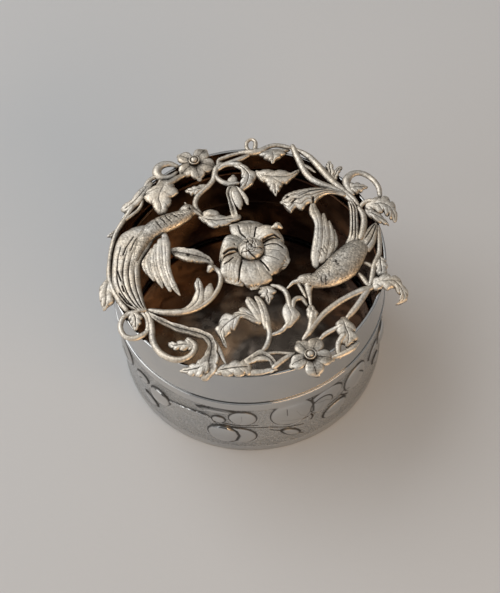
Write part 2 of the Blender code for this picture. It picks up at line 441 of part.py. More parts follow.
         (-0.380, 0.638, -0.385, 0.574, 0.38), (-0.415, 0.622, -0.406, 0.594, 0.32)),
        (2, (-0.050, 0.858, -0.060, 0.814, 0.36), (0.008, 0.826, -0.018, 0.776, 0.44),
         (0.056, 0.782, -0.004, 0.736, 0.50), (0.100, 0.738, -0.008, 0.696, 0.52),
         (0.100, 0.684, -0.014, 0.660, 0.48), (0.072, 0.638, -0.020, 0.630, 0.42),
         (0.020, 0.596, -0.026, 0.602, 0.34)),
        (1, (-0.120, 0.658, -0.045, 0.655, 0.32), (-0.108, 0.697, -0.040, 0.700, 0.36),
         (-0.084, 0.721, -0.055, 0.720, 0.32)),
    ),
    "vine_back": (
        (2, (0.142, 0.945, 0.348, 0.952, 0.30), (0.170, 0.898, 0.316, 0.906, 0.40),
         (0.198, 0.864, 0.286, 0.872, 0.38), (0.224, 0.843, 0.252, 0.846, 0.32)),
    ),
    "leaf_back": (
        (2, (0.112, 0.756, 0.116, 0.695, 0.44), (0.150, 0.750, 0.148, 0.656, 0.48),
         (0.200, 0.745, 0.196, 0.630, 0.50), (0.255, 0.741, 0.258, 0.614, 0.50),
         (0.312, 0.728, 0.316, 0.620, 0.48), (0.362, 0.716, 0.356, 0.654, 0.44),
         (0.402, 0.730, 0.400, 0.690, 0.38), (0.422, 0.743, 0.418, 0.716, 0.32)),
        (1, (0.180, 0.672, 0.288, 0.662, 0.46), (0.195, 0.606, 0.284, 0.606, 0.46),
         (0.212, 0.560, 0.266, 0.560, 0.40), (0.230, 0.527, 0.246, 0.527, 0.34)),
    ),
    "tulip_front": (
        (1, (0.085, -0.630, 0.136, -0.608, 0.40), (0.068, -0.560, 0.128, -0.550, 0.48),
         (0.060, -0.490, 0.112, -0.475, 0.54), (0.046, -0.430, 0.090, -0.416, 0.52),
         (0.034, -0.386, 0.068, -0.382, 0.46)),
        (1, (0.040, -0.590, 0.100, -0.548, 0.44), (0.008, -0.508, 0.070, -0.488, 0.54),
         (-0.022, -0.450, 0.044, -0.436, 0.56), (-0.033, -0.405, 0.018, -0.396, 0.50),
         (-0.024, -0.384, 0.004, -0.382, 0.44)),
        (1, (0.020, -0.580, 0.070, -0.545, 0.40), (-0.046, -0.530, 0.010, -0.498, 0.46),
         (-0.078, -0.482, -0.036, -0.456, 0.42)),
        (1, (0.102, -0.604, 0.068, -0.548, 0.37), (0.028, -0.590, 0.000, -0.514, 0.46),
         (-0.052, -0.546, -0.070, -0.494, 0.50), (-0.102, -0.598, -0.135, -0.494, 0.50),
         (-0.134, -0.646, -0.192, -0.508, 0.46), (-0.168, -0.658, -0.254, -0.598, 0.42),
         (-0.184, -0.704, -0.236, -0.660, 0.36), (-0.178, -0.748, -0.206, -0.734, 0.28)),
    ),
    "bud_front": (
        (2, (0.240, -0.624, 0.286, -0.620, 0.42), (0.232, -0.580, 0.324, -0.578, 0.50),
         (0.222, -0.535, 0.340, -0.540, 0.54), (0.224, -0.490, 0.312, -0.492, 0.54),
         (0.244, -0.448, 0.308, -0.450, 0.46)),
    ),
    "leaf_under_flower": (
        (2, (0.072, -0.288, 0.158, -0.286, 0.28), (0.066, -0.326, 0.190, -0.318, 0.34),
         (0.072, -0.362, 0.172, -0.352, 0.36), (0.100, -0.388, 0.162, -0.382, 0.32),
         (0.118, -0.416, 0.138, -0.420, 0.26)),
    ),
    "leaves_front": (
        (2, (-0.265, -0.930, -0.268, -0.970, 0.28), (-0.214, -0.900, -0.214, -0.986, 0.36),
         (-0.150, -0.880, -0.150, -0.998, 0.42), (-0.090, -0.872, -0.090, -1.000, 0.42),
         (-0.036, -0.872, -0.034, -0.994, 0.36)),
        (1, (-0.066, -0.870, -0.050, -0.920, 0.38), (0.002, -0.832, 0.012, -0.904, 0.46),
         (0.054, -0.808, 0.060, -0.898, 0.48), (0.108, -0.846, 0.101, -0.904, 0.44),
         (0.147, -0.894, 0.114, -0.930, 0.38), (0.161, -0.940, 0.121, -0.951, 0.32),
         (0.130, -0.979, 0.100, -0.962, 0.28)),
        (1, (0.150, -0.966, 0.110, -0.946, 0.26), (0.060, -0.994, 0.060, -0.955, 0.30),
         (-0.015, -0.995, -0.010, -0.952, 0.30), (-0.058, -0.988, -0.050, -0.950, 0.26)),
    ),
}

# Rounded bodies: x, y, level of the widest line, half width and height above it
BODY_SHARES = {
    "bird_left": (
        ((-0.362, 0.394, 0.42, 0.020, 0.018), (-0.398, 0.392, 0.42, 0.042, 0.036),
         (-0.448, 0.366, 0.42, 0.056, 0.042), (-0.510, 0.338, 0.40, 0.070, 0.046),
         (-0.570, 0.314, 0.40, 0.075, 0.050), (-0.632, 0.284, 0.40, 0.076, 0.052),
         (-0.688, 0.242, 0.40, 0.070, 0.052), (-0.734, 0.186, 0.40, 0.058, 0.046),
         (-0.762, 0.120, 0.42, 0.048, 0.040), (-0.784, 0.055, 0.44, 0.036, 0.032),
         (-0.796, -0.005, 0.46, 0.022, 0.022)),
        ((-0.462, 0.405, 0.48, 0.026, 0.026), (-0.432, 0.418, 0.50, 0.040, 0.036),
         (-0.398, 0.416, 0.50, 0.040, 0.034), (-0.366, 0.400, 0.46, 0.020, 0.018)),
    ),
    "bird_right": (
        ((0.345, -0.268, 0.42, 0.022, 0.020), (0.375, -0.262, 0.42, 0.042, 0.038),
         (0.420, -0.266, 0.42, 0.055, 0.042), (0.475, -0.270, 0.40, 0.066, 0.046),
         (0.532, -0.252, 0.40, 0.088, 0.052), (0.600, -0.218, 0.40, 0.106, 0.058),
         (0.665, -0.164, 0.40, 0.118, 0.060), (0.722, -0.098, 0.40, 0.108, 0.058),
         (0.776, -0.032, 0.40, 0.090, 0.050), (0.816, 0.018, 0.38, 0.070, 0.038)),
    ),
    "scroll_inner_left": (
        ((-0.240, -0.096, 0.38, 0.016, 0.014), (-0.262, -0.106, 0.40, 0.030, 0.028),
         (-0.280, -0.130, 0.38, 0.018, 0.016)),
    ),
    "flower_petals": (
        ((0.195, 0.194, 0.66, 0.014, 0.016), (0.232, 0.206, 0.68, 0.030, 0.028),
         (0.258, 0.194, 0.64, 0.014, 0.014)),
        ((-0.055, 0.027, 0.38, 0.040, 0.010), (-0.020, 0.027, 0.38, 0.078, 0.012),
         (0.032, 0.027, 0.38, 0.092, 0.012), (0.084, 0.027, 0.38, 0.078, 0.012),
         (0.119, 0.027, 0.38, 0.040, 0.010)),
    ),
    "floret_front": (
        ((0.352, -0.885, 0.46, 0.016, 0.016), (0.388, -0.885, 0.46, 0.038, 0.036),
         (0.424, -0.885, 0.46, 0.016, 0.016)),
    ),
    "floret_back": (
        ((-0.390, 0.872, 0.42, 0.016, 0.016), (-0.353, 0.872, 0.42, 0.038, 0.036),
         (-0.316, 0.872, 0.42, 0.016, 0.016)),
    ),
}

# Small flowers: middle and level, then each petal's direction in degrees, reach and half width
FLORET_SHARES = {
    "floret_front": (0.388, -0.885, 0.46, (
        (120, 0.145, 0.056), (66, 0.158, 0.056), (-8, 0.150, 0.060), (-77, 0.148, 0.064),
        (202, 0.142, 0.056),
    )),
    "floret_back": (-0.353, 0.872, 0.42, (
        (144, 0.142, 0.054), (55, 0.145, 0.058), (-19, 0.155, 0.064), (-78, 0.152, 0.055),
        (226, 0.145, 0.058),
    )),
}

# A small petal from its root outwards: distance and half width as shares of its own, and its drop in level
PETAL_SHARES = (
    (0.12, 0.40, 0.00), (0.42, 0.86, 0.03), (0.68, 1.00, 0.03), (0.88, 0.78, -0.03), (1.00, 0.34, -0.12),
)

# The flower's rolled heart: share of its height, radius share and turn in degrees
HEART_X_SHARE = 0.032
HEART_Y_SHARE = 0.027
HEART_R_SHARE = 0.092
HEART_LOBES = 5
HEART_LOBE_SHARE = 0.10
HEART_SHARES = (
    (0.50, 0.80, 0.0), (0.68, 1.00, 0.0), (0.86, 0.92, 20.0), (0.97, 0.62, 45.0), (0.93, 0.24, 70.0),
)

# What lies on top comes first: each later piece leaves FIT_GAP round the earlier ones
TOP_DOWN = (
    "flower_heart", "flower_petals", "bird_right_wing", "bird_left_wing", "bird_left", "bird_right",
    "bird_left_tail", "bird_right_tail", "floret_front", "floret_back", "branch_left", "acanthus_right",
    "leaf_front_left", "leaf_right_upper", "leaf_right_lower", "leaf_left_back", "leaf_back",
    "tulip_front", "bud_front", "leaf_by_wing", "leaf_under_flower", "leaf_front_right",
    "scroll_inner_left", "scroll_back", "curl_right_back", "leaves_front", "vine_back",
    "stems_back_right", "stems_front_right", "vine_right", "scroll_front_left", "loop_back_left",
    "vine_left",
)


def clear_scene():
    for obj in list(bpy.data.objects):
        bpy.data.objects.remove(obj)


def silver(name):
    """Each piece carries its own polished silver."""
    material = bpy.data.materials.new(name)
    material.use_nodes = True
    shader = material.node_tree.nodes["Principled BSDF"]
    shader.inputs["Base Color"].default_value = SILVER
    shader.inputs["Metallic"].default_value = 1
    shader.inputs["Roughness"].default_value = SILVER_ROUGHNESS
    material.diffuse_color = SILVER
    return material


def loft(name, loops, closed=False):
    """One closed skin over rings of points; the end rings are capped unless the last meets the first."""
    shape = bmesh.new()
    rings = [[shape.verts.new(point) for point in loop] for loop in loops]
    count = len(rings[0])
    pairs = list(zip(rings, rings[1:]))
    if closed:
        pairs.append((rings[-1], rings[0]))
    for first, second in pairs:
        for i in range(count):
            j = (i + 1) % count
            shape.faces.new((first[i], first[j], second[j], second[i]))
    if not closed:
        shape.faces.new(rings[0][::-1])
        shape.faces.new(rings[-1])
    bmesh.ops.triangulate(shape, faces=shape.faces[:])
    bmesh.ops.recalc_face_normals(shape, faces=shape.faces[:])
    if shape.calc_volume(signed=True) < 0:
        bmesh.ops.reverse_faces(shape, faces=shape.faces[:])
    mesh = bpy.data.meshes.new(name)
    shape.to_mesh(mesh)
    shape.free()
    obj = bpy.data.objects.new(name, mesh)
    bpy.context.scene.collection.objects.link(obj)
    return obj


def level_z(level):
    return RIM_Z + FIT_GAP + level * RELIEF_H


def along(points, i):
    """Unit direction of a path at its point i."""
    before = points[max(i - 1, 0)]
    after = points[min(i + 1, len(points) - 1)]
    return (after - before).normalized()


def stretched(points, grow):
    """The path with both ends moved outwards by grow."""
    ends = [point.copy() for point in points]
    ends[0] -= along(points, 0) * grow
    ends[-1] += along(points, len(points) - 1) * grow
    return ends


def stem(name, rows, grow=0.0):
    """A cast stem of flattened round section along its rows."""
    path = [Vector((x * LID_R, y * LID_R, level_z(level))) for x, y, level, _ in rows]
    loops = []
    for i, centre in enumerate(stretched(path, grow)):
        side = along(path, i).cross(Vector((0, 0, 1))).normalized()
        wide = rows[i][3] * LID_R
        loop = []
        for k in range(STEM_SIDES):
            turn = math.tau * (k + 0.5) / STEM_SIDES
            across = side * math.cos(turn) * (wide + grow)
            rise = math.sin(turn) * (wide * STEM_RISE_SHARE + grow)
            loop.append(centre + across + Vector((0, 0, rise)))
        loops.append(loop)
    return loft(name, loops)


def rounded_body(name, rows, grow=0.0):
    """A bird's body or a button: domed above its widest line and nearly flat below."""
    path = [Vector((x * LID_R, y * LID_R, level_z(level))) for x, y, level, _, _ in rows]
    loops = []
    for i, centre in enumerate(stretched(path, grow)):
        side = along(path, i).cross(Vector((0, 0, 1))).normalized()
        wide = rows[i][3] * LID_R + grow
        high = rows[i][4] * LID_R
        loop = []
        for k in range(BODY_SIDES):
            turn = math.tau * k / BODY_SIDES
            rise = math.sin(turn) * (high + grow)
            if rise < 0:
                rise = math.sin(turn) * (high * BODY_KEEL_SHARE + grow)
            loop.append(centre + side * math.cos(turn) * wide + Vector((0, 0, rise)))
        loops.append(loop)
    return loft(name, loops)


def blade(name, ridges, rows, grow=0.0):
    """A leaf, feather or petal between two edges, crowned in the middle and ridged along."""
    mids = [Vector(((ax + bx) / 2 * LID_R, (ay + by) / 2 * LID_R, level_z(z))) for ax, ay, bx, by, z in rows]
    ends = stretched(mids, grow)
    steps = 2 * round(ridges)
    loops = []
    for i, (ax, ay, bx, by, _) in enumerate(rows):
        half = Vector(((bx - ax) / 2 * LID_R, (by - ay) / 2 * LID_R, 0))
        half = half.normalized() * (half.length + grow)
        crown = min(LEAF_CROWN, half.length / 3)
        loop = []
        for k in range(steps + 1):
            s = 2 * k / steps - 1
            rise = grow - crown * s * s
            if 0 < k < steps and k % 2 == 0:
                rise -= RIB_DEPTH
            loop.append(ends[i] + half * s + Vector((0, 0, rise)))
        for s in (1, -1):
            loop.append(ends[i] + half * s - Vector((0, 0, crown + EDGE_T + grow)))
        loops.append(loop)
    return loft(name, loops)


def heart(name, grow=0.0):
    """The rolled heart of the big flower, a lobed bud."""
    loops = []
    for level, share, turn in HEART_SHARES:
        loop = []
        count = HEART_LOBES * 4
        for k in range(count):
            angle = math.tau * k / count
            lobes = 1 + HEART_LOBE_SHARE * math.cos(HEART_LOBES * (angle - math.radians(turn)))
            radius = share * HEART_R_SHARE * LID_R * lobes + grow
            z = level_z(level)
            if level == HEART_SHARES[0][0]:
                z -= grow
            else:
                z += grow
            x = HEART_X_SHARE * LID_R + math.cos(angle) * radius
            y = HEART_Y_SHARE * LID_R + math.sin(angle) * radius
            loop.append(Vector((x, y, z)))
        loops.append(loop)
    return loft(name, loops)


def petals(name):
    """Rows of each petal of a small flower, from its root outwards."""
    if name not in FLORET_SHARES:
        return []
    x, y, level, shares = FLORET_SHARES[name]
    found = []
    for degrees, reach, half_width in shares:
        ahead = (math.cos(math.radians(degrees)), math.sin(math.radians(degrees)))
        rows = []
        for far, wide, drop in PETAL_SHARES:
            mid = (x + ahead[0] * reach * far, y + ahead[1] * reach * far)
            side = (-ahead[1] * half_width * wide, ahead[0] * half_width * wide)
            left = (mid[0] + side[0], mid[1] + side[1])
            right = (mid[0] - side[0], mid[1] - side[1])
            rows.append((*left, *right, level + drop))
        found.append(rows)
    return found


def elements(name, grow=0.0):
    """The closed shapes that one casting is joined from."""
    made = []
    for rows in BODY_SHARES.get(name, ()):
        made.append(rounded_body(name, rows, grow))
    for ridges, *rows in BLADE_SHARES.get(name, ()):
        made.append(blade(name, ridges, rows, grow))
    for rows in petals(name):
        made.append(blade(name, 1, rows, grow))
    for rows in STEM_SHARES.get(name, ()):
        made.append(stem(name, rows, grow))
    if name == "flower_heart":
        made.append(heart(name, grow))
    for place, obj in enumerate(made):
        obj.data.transform(Matrix.Translation((0, 0, place * LAYER_STEP)))
    return made


def apply_boolean(target, tool, operation):
    modifier = target.modifiers.new(operation, "BOOLEAN")
    modifier.operation = operation
    modifier.solver = "MANIFOLD"
    modifier.object = tool
    graph = bpy.context.evaluated_depsgraph_get()
    done = bpy.data.meshes.new_from_object(target.evaluated_get(graph))
    target.modifiers.clear()
    old = target.data
    target.data = done
    bpy.data.meshes.remove(old)


def remove(obj):
    mesh = obj.data
    bpy.data.objects.remove(obj)
    bpy.data.meshes.remove(mesh)


def box_of(obj):
    lows = [min(v.co[i] for v in obj.data.vertices) for i in range(3)]
    highs = [max(v.co[i] for v in obj.data.vertices) for i in range(3)]
    return lows, highs


def boxes_meet(first, second):
    (low_a, high_a), (low_b, high_b) = first, second
    return all(low_a[i] < high_b[i] and low_b[i] < high_a[i] for i in range(3))


def finish(obj, name):
    """Its final name, its material and smooth shading with crisp edges."""
    obj.name = name
    obj.data.name = name
    obj.data.materials.clear()
    obj.data.materials.append(silver(name))
    obj.data.shade_smooth()
    obj.data.set_sharp_from_angle(angle=SMOOTH_ANGLE)


def openwork():
    """Joins each casting, then frees it from the castings that lie on it."""
    for place, name in enumerate(TOP_DOWN):
        parts = elements(name)
        whole = parts[0]
        for part in parts[1:]:
            apply_boolean(whole, part, "UNION")
            remove(part)
        for above in TOP_DOWN[:place]:
            for cutter in elements(above, FIT_GAP):
                if boxes_meet(box_of(whole), box_of(cutter)):
                    apply_boolean(whole, cutter, "DIFFERENCE")
                remove(cutter)
        finish(whole, name)


def turned(name, profile):
    """A closed profile of radius and height, turned round the axis."""
    loops = []
    for k in range(AROUND):
        angle = math.tau * k / AROUND
        loops.append([Vector((r * math.cos(angle), r * math.sin(angle), z)) for r, z in profile])
    return loft(name, loops, closed=True)


def chased(angle, share):
    """Height of the chased band's relief over BODY_R, at an angle and a share of the wall's height."""
    low, low_in, high_in, high = BAND_SHARES
    inside = min((share - low) / (low_in - low), (high - share) / (high - high_in), 1)
    if inside <= 0:
        return 0.0
    span = 360 / PATTERN_REPEATS
    degrees = (math.degrees(angle) - BOSS_SHARES[1][0] + span / 2) % span + BOSS_SHARES[1][0] - span / 2
    best = 0.0
    for middle, up, half_turn, half_up, tall in BOSS_SHARES:
        off = (degrees - middle + span / 2) % span - span / 2
        away = math.hypot(off / half_turn, (share - up) / half_up)
        if away < 1:
            best = max(best, tall * math.sqrt(1 - away * away))
    return (best * CHASE_H - GROUND_SINK) * inside


def body_wall():
    """The sheet wall: chased outside and plain inside."""
    inner = BODY_R - SHEET_T
    rows = [EDGE_TURN + (SEAM_Z - 2 * EDGE_TURN) * k / WALL_ROWS for k in range(WALL_ROWS + 1)]
    loops = []
    for k in range(WALL_AROUND):
        angle = math.tau * k / WALL_AROUND
        out = Vector((math.cos(angle), math.sin(angle), 0))
        loop = [out * inner, out * (BODY_R - EDGE_TURN / 2)]
        loop += [out * (BODY_R + chased(angle, z / SEAM_Z)) + Vector((0, 0, z)) for z in rows]
        loop.append(out * (BODY_R - EDGE_TURN / 2) + Vector((0, 0, SEAM_Z)))
        loop.append(out * inner + Vector((0, 0, SEAM_Z)))
        loops.append(loop)
    return loft("body_wall", loops, closed=True)


def disc(name, radius, low, high):
    loops = []
    for z in (low, high):
        loops.append([
            Vector((radius * math.cos(math.tau * k / AROUND), radius * math.sin(math.tau * k / AROUND), z))
            for k in range(AROUND)
        ])
    return loft(name, loops)


def box_pieces():
    wall = body_wall()
    floor = disc("body_floor", BODY_R - SHEET_T - FIT_GAP, 0, FLOOR_T)
    outer = BODY_R - SHEET_T - FIT_GAP
    low = SEAM_Z - BEZEL_DROP
    high = SEAM_Z + BEZEL_RISE
    turn = BEZEL_T / 2
    bezel = turned("body_bezel", (
        (outer, low), (outer, high - turn), (outer - turn, high), (outer - BEZEL_T, high - turn),
        (outer - BEZEL_T, low),
    ))
    foot = SEAM_Z + SEAM_GAP
    inner = LID_R - SHEET_T
    band = turned("lid_band", (
        (inner, foot), (LID_R, foot), (LID_R + EDGE_BEAD, foot + EDGE_BEAD), (LID_R, foot + 2 * EDGE_BEAD),
        (LID_R, RIM_Z - EDGE_BEAD), (LID_R - EDGE_BEAD, RIM_Z), (inner + EDGE_BEAD, RIM_Z),
        (inner, RIM_Z - EDGE_BEAD),
    ))
    for obj in (wall, floor, bezel, band):
        finish(obj, obj.name)


if __name__ == "__main__":
    clear_scene()
    box_pieces()
    openwork()
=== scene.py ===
"""Looks of a round silver box for potpourri, whose pull-off lid is open cast work.

Metres, +Z up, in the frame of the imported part. Plan positions are shares of LID_R.
"""

import math

import bpy
import numpy as np
from mathutils import Matrix, Vector


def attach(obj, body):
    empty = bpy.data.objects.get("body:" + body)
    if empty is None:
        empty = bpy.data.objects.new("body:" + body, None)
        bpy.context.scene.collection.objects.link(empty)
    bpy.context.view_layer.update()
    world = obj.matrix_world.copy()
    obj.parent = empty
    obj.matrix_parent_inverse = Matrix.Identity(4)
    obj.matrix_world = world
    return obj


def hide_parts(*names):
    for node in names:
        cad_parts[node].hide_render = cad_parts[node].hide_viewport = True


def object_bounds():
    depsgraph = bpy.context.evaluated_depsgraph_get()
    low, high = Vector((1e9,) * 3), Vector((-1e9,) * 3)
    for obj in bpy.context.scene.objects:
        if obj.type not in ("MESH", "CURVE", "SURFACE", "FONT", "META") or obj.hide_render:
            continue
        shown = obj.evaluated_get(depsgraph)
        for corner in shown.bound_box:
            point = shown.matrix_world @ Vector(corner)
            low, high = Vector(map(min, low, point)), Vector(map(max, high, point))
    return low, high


# The box, as in the part
LID_R = 0.0400
WALL_SET = 0.0001
BODY_R = LID_R - WALL_SET
SHEET_T = 0.0009
SEAM_Z = 0.0279
RIM_Z = 0.0440
SEAM_GAP = 0.0003
FLOOR_T = 0.0010
BEZEL_T = 0.0008
BEZEL_RISE = 0.0070
BEZEL_DROP = 0.0080
EDGE_BEAD = 0.0003
EDGE_TURN = 0.0006
RELIEF_H = 0.0040
EDGE_T = 0.0006
STEM_RISE_SHARE = 0.85
BODY_KEEL_SHARE = 0.35

# The turned sheet: faces round it and up it, and the painted shade line over the seam
AROUND = 256
FLOOR_AROUND = 192
FLOOR_RINGS = 30
BAND_STEPS = 24
COLLAR_STEPS = 16
CORNER_STEPS = 5
LIP_STEPS = 8
LIP_TURN = 80
LIP_SHARE = 0.95
SEAM_LINE = 0.0007
SEAM_SHADE_SHARE = 0.7
SEAM_FAR_SHARES = (0.15, 0.35, 0.55)

# The chased band
BAND_AROUND = 780
BAND_ROWS = 110
INSIDE_ROWS = 12
CHASE_H = 0.0007
GROUND_SINK = 0.0004
BAND_SHARES = (0.05, 0.09, 0.84, 0.89)
PATTERN_REPEATS = 3

# How finely the castings are drawn
POINT_STEP = 0.00017
LEAST_ROWS = 24
MOST_ROWS = 200
LEAST_ACROSS = 13
MOST_ACROSS = 81
LEAST_SIDES = 24
MOST_SIDES = 72
STEM_SIDES = 16

# Round ends of the castings: steps of the quarter turn, and how far they reach
TIP_TURNS = (25, 48, 66, 80, 88)
TIP_REACH_SHARE = 0.8
MOST_TIP = 0.0006
JOIN_REACH = 0.0006

# Blades: where along them each form sets in, as its start and its span
BLUNT_RAMP = (0.7, 0.3)
CUP_RAMP = (0.45, 0.55)
BITE_RAMP = (0.75, 0.25)
BEGIN_SPAN = 0.15
BEGIN_SWAY = 0.1
FADE_SPAN = 0.07
FADE_LEAST = 0.2

# Blades: forms across them, as shares of the half width
EDGE_PACK = 0.3
MOST_CROWN_SHARE = 0.5
HOLLOW_SHARE = 0.80
LIP_AT_SHARE = 0.86
LIP_HALF_SHARE = 0.12
LOBE_POWER = 0.6
SWELL_POWER = 0.8
NICK_POWER = 0.7

# Chased lines: their width and their painted shade, and the painted shade under the castings
CUT_W = 0.00013
SHAFT_SHARE = 0.8
MARK_SHADE = 0.00022
FULL_HOLLOW = 0.00026
DISH_SHADE = 0.6
UNDER_SHADE = 0.8
UNDER_GAIN = 1.2
SCORE_GAIN = 4
SCORE_LEAST = 0.4

# Stems and birds
STEM_FULL = 1.18
STEM_FLAT_SHARE = 0.8
BARB_SHADE = 0.45
BARB_ARC = 0.9
BARB_SHAPE = (1.9, 1.25, 0.25, 1.15)
SWAY_ALONG = (0.30, 2.3)
SWAY_ROUND = (0.2, 3.1)

# The camera of the photograph
CAMERA_AT = (0.0, -0.23092, 0.37497)
CAMERA_AIM = (0.00007, 0.00073, 0.0220)
CAMERA_ROLL = math.radians(-3.556)
CAMERA_LENS = 85.0
CAMERA_SENSOR = 36.0

